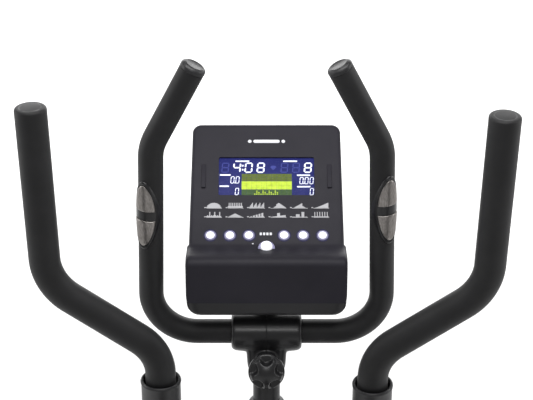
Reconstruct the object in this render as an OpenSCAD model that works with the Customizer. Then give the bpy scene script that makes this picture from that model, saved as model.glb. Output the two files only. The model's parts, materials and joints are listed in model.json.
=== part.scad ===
// Elliptical trainer with a rear drive.
// +X is the user's right, +Y points to the front of the machine, away from the user, and +Z is up.
// The origin lies on the floor, below the middle of the machine.

/* [Base] */
// Length over the rear end caps and the transport wheels
base_length = 1300; // [1300:10:1340]
// Length of each stabilizer tube
stabilizer_length = 420; // [400:10:460]
// Radius of the stabilizer tubes
stabilizer_r = 30; // [28:1:32]
// Height of the stabilizer tubes' centres above the floor
stabilizer_z = 42; // [41:1:44]
// Width of the rail that joins the stabilizers
rail_w = 60; // [56:1:64]
// Height of the rail's section
rail_h = 40; // [36:1:42]

/* [Linkage] */
// Crank axle, distance behind the origin
crank_back = 375; // [370:1:380]
// Crank axle, height above the floor
crank_z = 330; // [326:1:334]
// Throw of the cranks
crank_r = 160; // [150:1:165]
// Swing arm pivot, distance in front of the origin
pivot_front = 360; // [358:1:362]
// Swing arm pivot, height above the floor
pivot_z = 960; // [955:1:965]
// Length of a swing arm from its pivot to its lower pin
arm_length = 745; // [740:1:750]
// Length of a pedal bar between its two pivots
bar_length = 770; // [765:1:775]
// Distance of the swing arms and pedal bars from the middle plane
arm_x = 142; // [140:1:144]
// Angle of the left crank at rest, from upright towards the front
crank_rest = 4; // [0:1:5]

/* [Handlebars] */
// Distance of the handlebar clamp in front of the origin
clamp_y = 390; // [388:1:392]
// Height of the handlebar clamp above the floor
clamp_z = 1262.5; // [1255:0.5:1275]
// Lean of the fixed handlebar towards the user
bar_lean = 16; // [10:1:20]
// Half the width of the fixed handlebar, between tube centres
bar_half_w = 161; // [150:1:165]
// Radius of the fixed handlebar's steel tube
bar_r = 12.7; // [11:0.1:13]
// Radius of the fixed handlebar's foam
foam_r = 17; // [16.5:0.1:17.2]
// Lean of the upper swing arm towards the user
arm_lean = 15; // [14:1:17]
// Distance from the swing arm's pivot to the rim of its collar
collar_s = 275; // [270:1:280]
// Radius of the moving handles' foam
handle_foam_r = 20.5; // [18:0.5:21]
// Radius of the moving handles' steel tube
handle_r = 15; // [14:0.5:15]

/* [Console] */
// Height of the crease between the panel and the ledge
console_z = 1384; // [1380:1:1390]
// Angle of the panel's normal above the horizontal
console_tilt = 43.5; // [42:0.5:45]
// Length of the sloping panel
panel_length = 206; // [200:1:212]
// Width of the panel at its top
panel_top_w = 214; // [208:1:216]
// Width of the panel at the crease
panel_low_w = 216; // [214:1:218]
// Width of the ledge
ledge_w = 221; // [220:1:228]
// Wall thickness of the console's shells
shell_t = 2.6; // [2:0.1:3]

/* [Drive] */
// Radius of the drive pulley
pulley_r = 140; // [130:1:142]
// Radius of the small pulley on the flywheel
small_pulley_r = 20; // [17.5:0.5:22]
// Radius of the flywheel
flywheel_r = 125; // [115:1:126]
// Flywheel axle, distance in front of the crank axle
flywheel_ahead = 215; // [213:1:220]
// Flywheel axle, distance below the crank axle
flywheel_below = 68; // [66:1:72]
// Half the width of the shroud
shroud_half_w = 80; // [80:1:82]

/* [Hidden] */
$fn = 64;

LEFT = -1;
RIGHT = 1;
black_steel = [0.07, 0.07, 0.08];
bright_steel = [0.72, 0.73, 0.75];
cast_grey = [0.35, 0.35, 0.37];
black_plastic = [0.09, 0.09, 0.10];
panel_grey = [0.24, 0.24, 0.26];
foam_black = [0.05, 0.05, 0.05];
rubber_black = [0.04, 0.04, 0.04];
lit_white = [0.92, 0.94, 1.0];

gap = 0.3;
fit = 0.05;
wall = 2.5;

cap_r = 33;
cap_w = 50;
foot_h = 8;
wheel_r = 27;
wheel_w = 20;
wheel_pin_r = 4;
wheel_ahead = 38;
wheel_z = 36;
wheel_x = stabilizer_length / 2 + 15;
front_y = base_length / 2 - wheel_ahead - wheel_r;
rear_y = cap_r - base_length / 2;
rail_z = stabilizer_z + stabilizer_r + 23;
rail_top = rail_z + rail_h / 2;

crank = [-crank_back, crank_z];
pivot = [pivot_front, pivot_z];
flywheel_at = crank + [flywheel_ahead, -flywheel_below];
clamp_at = [clamp_y, clamp_z];

axle_r = 10;
pin_r = 8;
bush_r = 15;
crank_arm_x = 92;
crank_arm_t = 14;
crank_boss_x = 112;
open_gap = 0.5;
pivot_tube_half = 30;
belt_x = 40;
belt_w = 14;
belt_t = 3.5;
plate_left_x = -36;
plate_right_x = 62;
plate_t = 5;
fly_x1 = -16;
fly_x2 = 8;
fly_axle_r = 6;
fly_bearing_r = 15;
crank_bearing_r = 21;

mast_foot = [470, 100];
mast_r = 30;
post_r = 19;
mast_top_z = 1100;
post_top_z = clamp_z - 62;
sleeve_r = 16;
band_r = 21;
band_half = 28;
knob_at = [0, 312, clamp_z - 40];

// ---------- plane geometry of the linkage, as [y, z] ----------

function unit(v) = v / norm(v);
function crank_pin(side) = let (a = crank_rest + (side == LEFT ? 0 : 180)) crank + crank_r * [sin(a), cos(a)];
// Where circles of radius r1 about a and r2 about b meet, on the right of the line from a to b
function circles_meet(a, r1, b, r2) =
    let (d = norm(b - a), along = (r1 * r1 - r2 * r2 + d * d) / (2 * d), up = unit(b - a))
    a + along * up + sqrt(r1 * r1 - along * along) * [up[1], -up[0]];
function lower_pivot(side) = circles_meet(crank_pin(side), bar_length, pivot, arm_length);
function swing_angle(side) = let (q = lower_pivot(side) - pivot) atan2(q[0], -q[1]);
function bar_angle(side) = let (v = lower_pivot(side) - crank_pin(side)) atan2(v[1], v[0]);
function mast_at(z) = mast_foot + (z - mast_foot[1]) / (clamp_z - mast_foot[1]) * (clamp_at - mast_foot);
mast_angle = atan2(mast_foot[0] - clamp_y, clamp_z - mast_foot[1]);

// ---------- helpers ----------

module on_side(side) {
    if (side == LEFT) mirror([1, 0, 0]) children();
    else children();
}
// Extrude a [y, z] outline along X
module yz_extrude(x1, x2) translate([x1, 0, 0]) rotate([90, 0, 90]) linear_extrude(x2 - x1) children();
module x_rod(x1, x2, r, at) translate([x1, at[0], at[1]]) rotate([0, 90, 0]) cylinder(r = r, h = x2 - x1);
module x_tube(x1, x2, r, r_in, at) difference() {
    x_rod(x1, x2, r, at);
    x_rod(x1 - 1, x2 + 1, r_in, at);
}
// A box from [x, y, z] to [x, y, z]
module span(low, high) translate(low) cube(high - low);
// Put children at a [y, z] point, turned about X
module at_yz(p, angle = 0) translate([0, p[0], p[1]]) rotate([angle, 0, 0]) children();
// Local Z runs up the mast from the given height
module on_mast(z) at_yz(mast_at(z), mast_angle) children();
module in_arm(side) on_side(side) at_yz(pivot, swing_angle(side)) translate([arm_x, 0, 0]) children();
module in_upper_arm(side) in_arm(side) rotate([arm_lean, 0, 0]) children();
module in_bar(side) on_side(side) at_yz(crank_pin(side), bar_angle(side)) translate([arm_x, 0, 0]) children();
module in_handlebar() at_yz(clamp_at, bar_lean) children();
module in_console() at_yz([clamp_y, console_z], 90 - console_tilt) children();
module rounded_plate(w, l, h, r) linear_extrude(h) {
    square([w - 2 * r, l], center = true);
    square([w, l - 2 * r], center = true);
    for (x = [-1, 1], y = [-1, 1]) translate([x * (w / 2 - r), y * (l / 2 - r)]) circle(r);
}

// ---------- bent tubes in a local XZ plane ----------

tube_sides = 16;
bend_steps = 7;
function arc_points(a, b, c, bend_r) =
    let (d1 = unit(b - a), d2 = unit(c - b), turn = acos(d1 * d2), n = unit(cross(d1, d2)),
        start = b - d1 * bend_r * tan(turn / 2), inward = cross(n, d1), centre = start + inward * bend_r)
    [for (k = [0 : bend_steps]) let (t = turn * k / bend_steps)
        centre - inward * bend_r * cos(t) + d1 * bend_r * sin(t)];
// A path of [x, z] points, with each inner corner turned into an arc of its own radius
function bent(points, radii) =
    let (p = [for (q = points) [q[0], 0, q[1]]], last = len(p) - 1)
    [for (i = [0 : last]) each i == 0 || i == last ? [p[i]]
        : arc_points(p[i - 1], p[i], p[i + 1], radii[i - 1])];
// One closed polyhedron: an outer and an inner skin along the path, joined by a ring at each end
module bent_tube(path, r, r_in) {
    last = len(path) - 1;
    side = [0, 1, 0];
    n = tube_sides;
    points = [for (radius = [r, r_in], i = [0 : last])
        let (t = unit(path[min(i + 1, last)] - path[max(i - 1, 0)]), other = cross(t, side))
        each [for (k = [0 : n - 1]) let (a = 360 * k / n)
            path[i] + radius * (cos(a) * side + sin(a) * other)]];
    inner = (last + 1) * n;
    outer_walls = [for (i = [0 : last - 1], k = [0 : n - 1]) let (a = i * n + k, b = i * n + (k + 1) % n)
        each [[a, a + n, b + n], [a, b + n, b]]];
    inner_walls = [for (f = outer_walls) [inner + f[2], inner + f[1], inner + f[0]]];
    ends = [for (k = [0 : n - 1]) let (k2 = (k + 1) % n, a = last * n + k, b = last * n + k2)
        each [[k, k2, inner + k2], [k, inner + k2, inner + k], [a, inner + a, inner + b], [a, inner + b, b]]];
    polyhedron(points, concat(outer_walls, inner_walls, ends));
}

// ---------- base and frame ----------

module stabilizer(y) color(black_steel) difference() {
    x_rod(-stabilizer_length / 2, stabilizer_length / 2, stabilizer_r, [y, stabilizer_z]);
    x_rod(-stabilizer_length / 2 - 1, stabilizer_length / 2 + 1, stabilizer_r - wall, [y, stabilizer_z]);
    for (x = [-1, 1]) translate([x * bolt_x, y, stabilizer_z]) cylinder(r = bolt_r, h = 40);
}
bolt_r = 4;
bolt_x = 20;

module front_stabilizer() stabilizer(front_y);
module rear_stabilizer() stabilizer(rear_y);

module end_cap(side, y) on_side(side) difference() {
    union() {
        x_rod(stabilizer_length / 2, stabilizer_length / 2 + cap_w - 6, cap_r, [y, stabilizer_z]);
        x_rod(stabilizer_length / 2 + cap_w - 6, stabilizer_length / 2 + cap_w, cap_r - 4, [y, stabilizer_z]);
        x_rod(stabilizer_length / 2 - 30, stabilizer_length / 2, stabilizer_r - wall, [y, stabilizer_z]);
        span([stabilizer_length / 2, y - 26, 0], [stabilizer_length / 2 + cap_w - 4, y + 26, stabilizer_z]);
        if (y > 0) for (x = [wheel_x - wheel_w / 2 - 5, wheel_x + wheel_w / 2 + 1])
            yz_extrude(x, x + 4) wheel_ear();
    }
    x_rod(stabilizer_length / 2 - 31, stabilizer_length / 2 - 1, stabilizer_r - 2 * wall, [y, stabilizer_z]);
    if (y > 0) {
        x_rod(wheel_x - wheel_w / 2 - 6, wheel_x + wheel_w / 2 + 6, wheel_pin_r, [y + wheel_ahead, wheel_z]);
        x_rod(wheel_x - wheel_w / 2 - 1, wheel_x + wheel_w / 2 + 1, wheel_r + 3, [y + wheel_ahead, wheel_z]);
    }
}
module wheel_ear() {
    translate([front_y + wheel_ahead, wheel_z]) circle(10);
    translate([front_y, wheel_z - 10]) square([wheel_ahead, 20]);
}
module stabilizer_caps() color(rubber_black)
    for (side = [LEFT, RIGHT], y = [rear_y, front_y]) end_cap(side, y);

module transport_wheel(side) color(rubber_black) on_side(side) difference() {
    x_rod(wheel_x - wheel_w / 2, wheel_x + wheel_w / 2, wheel_r, [front_y + wheel_ahead, wheel_z]);
    x_rod(wheel_x - wheel_w, wheel_x + wheel_w, wheel_pin_r + fit, [front_y + wheel_ahead, wheel_z]);
    for (x = [wheel_x - wheel_w / 2 - 1, wheel_x + wheel_w / 2 - 3])
        x_tube(x, x + 4, wheel_r - 5, 9, [front_y + wheel_ahead, wheel_z]);
}

idler_r = 18;
// The lower run of the belt: its outward normal, and the middle of the run
pulley_line = unit(flywheel_at - crank);
run_cos = (pulley_r - small_pulley_r) / norm(flywheel_at - crank);
run_normal = run_cos * pulley_line + sqrt(1 - run_cos * run_cos) * [pulley_line[1], -pulley_line[0]];
run_middle = (crank + pulley_r * run_normal + flywheel_at + small_pulley_r * run_normal) / 2;
idler_at = run_middle + (belt_t + 2 * gap + idler_r) * run_normal;
idler_plate_x = 24;
brake_pivot = flywheel_at + [146, -112];
brake_pin_r = 5;

module main_frame() color(black_steel) difference() {
    union() {
        span([-rail_w / 2, rear_y - 30, rail_z - rail_h / 2], [rail_w / 2, front_y + 30, rail_top]);
        for (y = [rear_y, front_y]) span([-32, y - 32, stabilizer_z], [32, y + 32, rail_z]);
        span([-20, crank[0] - 30, rail_top - 1], [20, crank[0] + 30, crank[1] - 10]);
        x_rod(-38, 38, crank_bearing_r + 6, crank);
        span([plate_left_x, flywheel_at[0] - 40, rail_top - 12],
            [plate_right_x + plate_t, flywheel_at[0] + 40, rail_top]);
        for (x = [plate_left_x, plate_right_x]) {
            span([x, flywheel_at[0] - 22, rail_top - 6], [x + plate_t, flywheel_at[0] + 22, flywheel_at[1]]);
            x_rod(x, x + plate_t, 22, flywheel_at);
        }
        span([idler_plate_x, idler_at[0] - 15, rail_top - 4],
            [idler_plate_x + 6, idler_at[0] + 15, idler_at[1]]);
        x_rod(idler_plate_x, idler_plate_x + 6, 15, idler_at);
        x_rod(idler_plate_x + 5, belt_x - 3, 10, idler_at);
        x_rod(idler_plate_x + 5, belt_x + belt_w + 4, fly_axle_r, idler_at);
        for (x = [-30, 24]) {
            span([x, brake_pivot[0] - 10, rail_top - 4], [x + 6, brake_pivot[0] + 10, brake_pivot[1]]);
            x_rod(x, x + 6, 10, brake_pivot);
        }
        x_rod(-30, 30, brake_pin_r, brake_pivot);
        on_mast(mast_foot[1] - 15) cylinder(r = mast_r + 5, h = 110);
    }
    span([wall - rail_w / 2, rear_y - 31, rail_z - rail_h / 2 + wall],
        [rail_w / 2 - wall, mast_foot[0] - 60, rail_top - wall]);
    for (y = [rear_y, front_y]) {
        x_rod(-40, 40, stabilizer_r + 0.1, [y, stabilizer_z]);
        span([-40, y - 40, 0], [40, y + 40, stabilizer_z]);
        for (x = [-1, 1]) translate([x * bolt_x, y, 0]) cylinder(r = bolt_r, h = 200);
    }
    x_rod(-39, 39, crank_bearing_r, crank);
    x_rod(plate_left_x - 1, plate_right_x + plate_t + 1, fly_axle_r, flywheel_at);
    on_mast(mast_foot[1] + 5) cylinder(r = mast_r, h = 100);
    for (z = mast_bolt_heights) on_mast(z) rotate([-90, 0, 0]) cylinder(r = bolt_r, h = 60);
}
mast_bolt_heights = [mast_foot[1] + 35, mast_foot[1] + 70];

module domed_bolt(length, head_r = 9) {
    cylinder(r = head_r, h = 3);
    translate([0, 0, 3]) cylinder(r1 = head_r, r2 = head_r * 0.6, h = 3);
    translate([0, 0, -length]) cylinder(r = bolt_r, h = length);
}
module frame_bolts() color(bright_steel) {
    for (y = [rear_y, front_y], x = [-1, 1]) translate([x * bolt_x, y, rail_top]) domed_bolt(rail_h + 8);
    for (z = mast_bolt_heights) on_mast(z) rotate([-90, 0, 0]) translate([0, 0, mast_r + 5]) domed_bolt(12);
    for (side = [LEFT, RIGHT]) on_side(side) x_rod(wheel_x - wheel_w / 2 - 5, wheel_x + wheel_w / 2 + 5,
        wheel_pin_r, [front_y + wheel_ahead, wheel_z]);
    in_console() for (x = [-1, 1], u = screw_u) translate([x * screw_x, u, bracket_low]) mirror([0, 0, 1]) {
        cylinder(r = 4.5, h = 3);
        translate([0, 0, -12]) cylinder(r = 2.5, h = 12);
    }
}
screw_x = 18;
screw_u = [20, 90];

module lower_mast() color(black_steel) difference() {
    union() {
        on_mast(mast_foot[1] + 6) cylinder(r = mast_r, h = mast_top_z - mast_foot[1] - 6);
        x_rod(gap - arm_x + pivot_tube_half + 3, arm_x - pivot_tube_half - 3 - gap, 18, pivot);
        span([-34, pivot[0], pivot[1] - 16], [34, mast_at(pivot_z)[0], pivot[1] + 16]);
    }
    on_mast(mast_foot[1]) cylinder(r = mast_r - wall, h = mast_top_z - mast_foot[1] - 60);
    on_mast(mast_foot[1]) cylinder(r = post_r, h = mast_top_z - mast_foot[1] + 20);
    x_rod(-200, 200, axle_r, pivot);
    for (z = mast_bolt_heights) on_mast(z) rotate([-90, 0, 0]) cylinder(r = bolt_r, h = 60);
}

module pivot_axle() color(bright_steel)
    x_rod(-arm_x - pivot_tube_half - 3, arm_x + pivot_tube_half + 3, axle_r, pivot);

bracket_u = [-15, 112];
bracket_t = 4;
console_back_v = -52;
bracket_low = console_back_v - bracket_t;
// The handlebar post, and the plate on its far side that rises behind the clamp and carries the console
module handlebar_post() color(black_steel) difference() {
    union() {
        on_mast(mast_top_z - 100) cylinder(r = post_r, h = post_top_z - mast_top_z + 100);
        span([-leg_half_w, clamp_y + 10, leg_low], [leg_half_w, leg_y + leg_t, clamp_z - 75]);
        span([-leg_half_w, leg_y, leg_low], [leg_half_w, leg_y + leg_t, leg_top]);
        in_console() span([-24, bracket_u[0], bracket_low], [24, bracket_u[1], console_back_v]);
        intersection() {
            span([-leg_half_w, leg_y, leg_top - 20], [leg_half_w, leg_y + 40, leg_top + 30]);
            in_console() span([-24, bracket_u[0] - 20, bracket_low - 14],
                [24, bracket_u[0] + 20, bracket_low + 1]);
        }
    }
    on_mast(mast_top_z - 110) cylinder(r = post_r - wall, h = post_top_z - mast_top_z + 200);
    in_console() for (x = [-1, 1], u = screw_u)
        translate([x * screw_x, u, bracket_low - 1]) cylinder(r = 2.5, h = 8);
}
leg_y = clamp_y + 27;
leg_t = 6;
leg_half_w = 17;
leg_low = clamp_z - 96;
leg_top = console_z - 52;

module mast_cover() color(black_plastic) on_mast(mast_cover_z) rotate_extrude() difference() {
    polygon(mast_cover_profile(0));
    polygon(mast_cover_profile(wall));
    square([post_r + gap, 200]);
}
mast_cover_z = 1032;
mast_cover_h = 130;
mast_dome_h = 70;
// A skirt under a quarter-ellipse dome, as [radius, height], drawn inwards by t
function mast_cover_profile(t) = concat(
    [[0, -t], [mast_r + 7 - t, -t], [mast_r + 7 - t, mast_cover_h - mast_dome_h - 10]],
    [for (k = [0 : 10]) let (a = 9 * k) [post_r + 1 + (mast_r - post_r + 3) * cos(a) - t,
        mast_cover_h - mast_dome_h * (1 - sin(a)) - t]],
    [[0, mast_cover_h - t]]);

// ---------- handlebar clamp ----------

module clamp_band() color(black_steel) difference() {
    union() {
        x_rod(-band_half, band_half, band_r, clamp_at);
        span([-20, clamp_y - 12, clamp_z - 62], [20, clamp_y + 14, clamp_z]);
        span([-post_r, clamp_y - 12, clamp_z - 62], [post_r, clamp_y + 14, clamp_z - 52]);
    }
    x_rod(-band_half - 1, band_half + 1, sleeve_r + fit, clamp_at);
    span([-band_half, clamp_y - 4, clamp_z - 54], [band_half, clamp_y, clamp_z]);
    translate([0, clamp_y - 20, knob_at[2]]) rotate([-90, 0, 0]) cylinder(r = knob_stud_r + 0.3, h = 60);
}
knob_stud_r = 4;

neck_w = 55;
neck_d = 42;
neck_y = clamp_y + 1;
neck_low = clamp_z - 51;
boss_y = neck_y - neck_d / 2 + 4;
cover_r = 26;
cover_half = 49;
module clamp_cover_solid(t) {
    x_rod(t - cover_half, cover_half - t, cover_r - t, clamp_at);
    translate([0, neck_y, neck_low - (t > 0 ? 5 : 0)])
        rounded_plate(neck_w - 2 * t, neck_d - 2 * t, clamp_z - neck_low, 10 - t);
    translate([0, boss_y, knob_at[2]]) rotate([90, 0, 0])
        cylinder(r = 17 - t, h = boss_y - knob_at[1] - 34 - t);
}
module clamp_covers() color(black_plastic) for (side = [LEFT, RIGHT]) on_side(side) difference() {
    clamp_cover_solid(0);
    clamp_cover_solid(wall);
    x_rod(-100, 100, foam_r + 0.6, clamp_at);
    translate([0, clamp_y - 80, knob_at[2]]) rotate([-90, 0, 0]) cylinder(r = knob_stud_r + 0.5, h = 120);
    span([-60, 300, 1100], [0.05, 500, 1400]);
}

// A knob with five finger hollows and a round skirt. Its stud pulls the clamp's ears together
knob_r = 25;
knob_hollows = 5;
module clamp_knob() color(black_plastic) translate(knob_at) rotate([-90, 0, 0]) {
    difference() {
        cylinder(r = knob_r - 2, h = 20);
        for (k = [0 : knob_hollows - 1])
            rotate([0, 0, 360 * k / knob_hollows - 90]) translate([knob_r - 4.5, 0, -1]) cylinder(r = 9.5, h = 15);
    }
    translate([0, 0, 16]) cylinder(r = knob_r, h = 5);
    translate([0, 0, 20]) cylinder(r = 12, h = 12);
    cylinder(r = knob_stud_r, h = clamp_y + 24 - knob_at[1]);
}

// ---------- fixed handlebar ----------

bar_bend_r = 63;
tip_bend_r = 70;
grip_start = 32;
plug_depth = 12;
bar_top = [bar_half_w - 8.5, 287];
bar_tip = [95.5, 397];
right_side = [[bar_half_w, 0], bar_top, bar_tip];
module handlebar_tube() color(black_steel) in_handlebar() bent_tube(
    bent(concat([for (k = [2 : -1 : 0]) [-right_side[k][0], right_side[k][1]]], right_side),
        [tip_bend_r, bar_bend_r, bar_bend_r, tip_bend_r]), bar_r, bar_r - 2);
module foam_grips() color(foam_black) in_handlebar() for (side = [LEFT, RIGHT])
    bent_tube(bent(concat([[side * grip_start, 0]], [for (p = right_side) [side * p[0], p[1]]]),
        [bar_bend_r, tip_bend_r]), foam_r, bar_r + 0.2);
// The plugs in the tips, and the plain sleeve that turns in the clamp
module handlebar_plugs() color(black_plastic) in_handlebar() {
    difference() {
        x_rod(-band_half - 1, band_half + 1, sleeve_r, [0, 0]);
        x_rod(-band_half - 2, band_half + 2, bar_r + 0.1, [0, 0]);
    }
    for (side = [LEFT, RIGHT]) on_side(side) translate([bar_tip[0], 0, bar_tip[1]])
        rotate([0, atan2(bar_tip[0] - bar_top[0], bar_tip[1] - bar_top[1]), 0]) {
            cylinder(r = foam_r, h = 4);
            translate([0, 0, 4]) cylinder(r1 = foam_r, r2 = foam_r - 5, h = 5);
            translate([0, 0, -plug_depth]) cylinder(r = bar_r - 2.5, h = plug_depth + 1);
        }
}

// Pulse sensors: an oval shell on the foam's outer side, facing the user, and two steel plates on it
sensor_s = [192, 200.5];
sensor_turn = 59;
sensor_base = [34.6, 102];
sensor_plate = [31, 90];
plate_gap = 13;
module in_sensor(side) in_handlebar() on_side(side) translate([bar_half_w, 0, 0])
    rotate([0, atan2(bar_top[0] - bar_half_w, bar_top[1]), 0])
        translate([0, 0, sensor_s[side == LEFT ? 0 : 1]]) rotate([0, 0, -sensor_turn]) children();
// What lies between two radii round the grip, inside an oval of the given width and length
module sensor_shell(r1, r2, size) intersection() {
    difference() {
        cylinder(r = r2, h = size[1], center = true);
        cylinder(r = r1, h = size[1] + 2, center = true);
    }
    rotate([90, 0, 90]) linear_extrude(40)
        polygon([for (k = [0 : 31]) let (a = 360 * k / 32) [size[0] * cos(a), size[1] * sin(a)] / 2]);
}
module pulse_bases() color(black_plastic) for (side = [LEFT, RIGHT]) in_sensor(side)
    sensor_shell(foam_r + 0.1, foam_r + 2.6, sensor_base);
module pulse_plates() color(bright_steel) for (side = [LEFT, RIGHT]) in_sensor(side) difference() {
    sensor_shell(foam_r + 2.6, foam_r + 3.6, sensor_plate);
    cube([80, 80, plate_gap], center = true);
}

// ---------- console ----------

// Side outline as [u, v]: u runs up the panel and v out of it. The ledge's ramp starts at ramp_top
ramp_top = 6;
ledge_crest = [-41, 28];
ledge_foot = [-78, -20];
function console_profile() = concat([[panel_length, 0], [panel_length, -22], [132, console_back_v],
    [-66, console_back_v], [-88, -37], [-88, -30], ledge_foot, ledge_crest + [-6, -5], ledge_crest],
    [for (k = [1 : 5]) let (f = k / 6)
        [ledge_crest[0] + (ramp_top - ledge_crest[0]) * f, ledge_crest[1] * (1 + cos(180 * f)) / 2]],
    [[ramp_top, 0]]);
function corner(centre, r, from) = [for (k = [0 : 5]) centre + r * [cos(from + 18 * k), sin(from + 18 * k)]];
// Front outline as [x, u], anticlockwise
function console_outline() =
    let (top = panel_top_w / 2, low = panel_low_w / 2, wide = ledge_w / 2, r1 = 13, r2 = 20)
    concat(corner([wide - r2, -88 + r2], r2, -90), [[wide, ramp_top - 5], [low, ramp_top]],
        corner([top - r1, panel_length - r1], r1, 0), corner([r1 - top, panel_length - r1], r1, 90),
        [[-low, ramp_top], [-wide, ramp_top - 5]], corner([r2 - wide, -88 + r2], r2, 180));
// A closed outline drawn inwards by d. d is negative for one that runs clockwise
function inset(p, d) = let (n = len(p)) [for (i = [0 : n - 1])
    let (e1 = unit(p[i] - p[(i + n - 1) % n]), e2 = unit(p[(i + 1) % n] - p[i]),
        n1 = [-e1[1], e1[0]], n2 = [-e2[1], e2[0]])
    p[i] + (n1 + n2) * d / (1 + n1 * n2)];
module in_dial() in_console() translate([0, dial_u, 0]) children();
module console_solid(d) intersection() {
    yz_extrude(-120, 120) polygon(d == 0 ? console_profile() : inset(console_profile(), -d));
    translate([0, 0, -70]) linear_extrude(120)
        polygon(d == 0 ? console_outline() : inset(console_outline(), d));
}
split_v = -20;
window = [136, 64];
window_u = 116;
button_x = [-78, -51, -24.5, 24.5, 51, 78];
button_u = 18;
button_r = 8.2;
// The dial's flange runs in under the foot of the ledge's ramp, and its stub stands through the ramp
dial_u = -3.2;
dial_r = 11.9;
dial_stub_r = 8;
pocket_top = 5;
boss_at = [for (x = [-1, 1], u = [28, 190]) [x * 88, u]];

module console_front() color(panel_grey) difference() {
    in_console() {
        difference() {
            console_solid(0);
            console_solid(shell_t);
        }
        for (p = boss_at) translate([p[0], p[1], -12]) cylinder(r = 4, h = 11);
        for (x = [-1, 1]) translate([x * 89.5, 115.5, 0]) rounded_plate(7, 41, 1.6, 3.4);
    }
    in_console() {
        span([-130, -100, -80], [130, 250, split_v]);
        translate([-window[0] / 2, window_u - window[1] / 2, -10]) cube([window[0], window[1], 20]);
        for (x = button_x) translate([x, button_u, -10]) cylinder(r = button_r + 0.35, h = 20);
    }
    in_dial() {
        translate([0, 0, -12]) cylinder(r = dial_r + 0.6, h = 12 + pocket_top);
        cylinder(r = dial_stub_r + 0.6, h = 30);
    }
}
module console_back() color(black_plastic) in_console() difference() {
    console_solid(0);
    console_solid(shell_t);
    span([-130, -100, split_v - 0.05], [130, 250, 60]);
    for (x = [-1, 1], u = screw_u) translate([x * screw_x, u, -60]) cylinder(r = 2.5, h = 30);
}
module display_lens() color([0.5, 0.6, 0.9, 0.35]) in_console()
    translate([0.1 - window[0] / 2, window_u + 0.1 - window[1] / 2, -shell_t])
        cube([window[0] - 0.2, window[1] - 0.2, 2.2]);
module lcd_panel() color([0.23, 0.25, 0.62]) in_console()
    translate([-window[0] / 2 - 5, window_u - window[1] / 2 - 4, -shell_t - 5])
        cube([window[0] + 10, window[1] + 8, 4.9]);
module circuit_board() color([0.05, 0.30, 0.15]) in_console() {
    translate([-97, 12, -13.6]) cube([194, 182, 1.6]);
    for (x = [-60, -20, 30]) translate([x, 150, -16.6]) cube([24, 24, 3]);
    translate([50, 60, -20.6]) cube([30, 14, 7]);
}
button_travel = 1;
module button(i) color(lit_white) in_console() translate([button_x[i], button_u, 0]) {
    translate([0, 0, -7]) cylinder(r = button_r, h = 7.6);
    translate([0, 0, 0.6]) cylinder(r1 = button_r, r2 = button_r - 1.6, h = 1.2);
    translate([0, 0, -7]) cylinder(r = button_r + 1.8, h = 7 - shell_t - 0.1);
}
module dial_stem() color(bright_steel) in_dial() translate([0, 0, -11]) cylinder(r = 3, h = 11);
module dial_cap() color(lit_white) in_dial() difference() {
    union() {
        translate([0, 0, -4]) cylinder(r = dial_r, h = 5.4);
        translate([0, 0, 1.4]) cylinder(r1 = dial_r, r2 = dial_r - 1.2, h = 0.8);
        translate([0, 0, 2]) cylinder(r = dial_stub_r, h = 5.5);
        translate([0, 0, 7.5]) cylinder(r1 = dial_stub_r, r2 = dial_stub_r - 3, h = 1.5);
    }
    translate([0, 0, -5]) cylinder(r = 3 + fit, h = 5);
}

// The console's cable hangs inside the post and the mast
module mast_cable() color(rubber_black) on_mast(250) cylinder(r = 2.5, h = post_top_z - 260);

// ---------- swing arms and moving handles ----------

arm_r = 19;
clevis_x = 25.5;
clevis_t = 6.5;
module swing_arm(side) color(black_steel) difference() {
    union() {
        in_arm(side) {
            x_rod(-pivot_tube_half, pivot_tube_half, 22, [0, 0]);
            translate([0, 0, 66 - arm_length]) cylinder(r = arm_r, h = arm_length - 66);
            span([-clevis_x - clevis_t, -arm_r, 58 - arm_length],
                [clevis_x + clevis_t, arm_r, 68 - arm_length]);
            for (x = [-clevis_x - clevis_t, clevis_x]) {
                span([x, -arm_r, -arm_length], [x + clevis_t, arm_r, 60 - arm_length]);
                x_rod(x, x + clevis_t, arm_r, [0, -arm_length]);
            }
        }
        in_upper_arm(side) cylinder(r = arm_r, h = collar_s - 50);
    }
    in_arm(side) {
        x_rod(-50, 50, bush_r, [0, 0]);
        x_rod(-50, 50, pin_r, [0, -arm_length]);
        translate([0, 0, 80 - arm_length]) cylinder(r = arm_r - wall, h = arm_length - 106);
    }
    in_upper_arm(side) translate([0, 0, 40]) cylinder(r = handle_r + 0.3, h = 300);
}
// Plastic parts on an arm: two pivot bushes, the outer end cap and the collar at the top
module arm_fittings(side) color(black_plastic) {
    in_arm(side) {
        for (x = [-pivot_tube_half, pivot_tube_half - 14]) x_tube(x, x + 14, bush_r, axle_r + fit, [0, 0]);
        x_tube(-pivot_tube_half - 3, -pivot_tube_half, 20, axle_r + fit, [0, 0]);
        difference() {
            union() {
                x_rod(pivot_tube_half, pivot_tube_half + 8, 22, [0, 0]);
                translate([pivot_tube_half + 8, 0, 0]) rotate([0, 90, 0]) cylinder(r1 = 22, r2 = 16, h = 5);
            }
            x_rod(pivot_tube_half - 1, pivot_tube_half + 3 + gap, axle_r + fit, [0, 0]);
        }
    }
    in_upper_arm(side) translate([0, 0, collar_s]) rotate_extrude() polygon([[arm_r + 0.1, -95],
        [arm_r + 3, -95], [collar_r, -66], [collar_r, -1.5], [collar_r - 1.5, 0], [collar_r - 3.5, 0],
        [collar_r - 3.5, -34], [handle_foam_r + 0.4, -44], [arm_r + 0.1, -50]]);
}
collar_r = 26.5;
handle_path = [[0, 120], [0, collar_s + 43], [144, collar_s + 147], [149, collar_s + 396]];
handle_bends = [66, 75];
foam_start = collar_s - 40;
module handle_tube(side) color(black_steel) in_upper_arm(side)
    bent_tube(bent(handle_path, handle_bends), handle_r, handle_r - 2);
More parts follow.
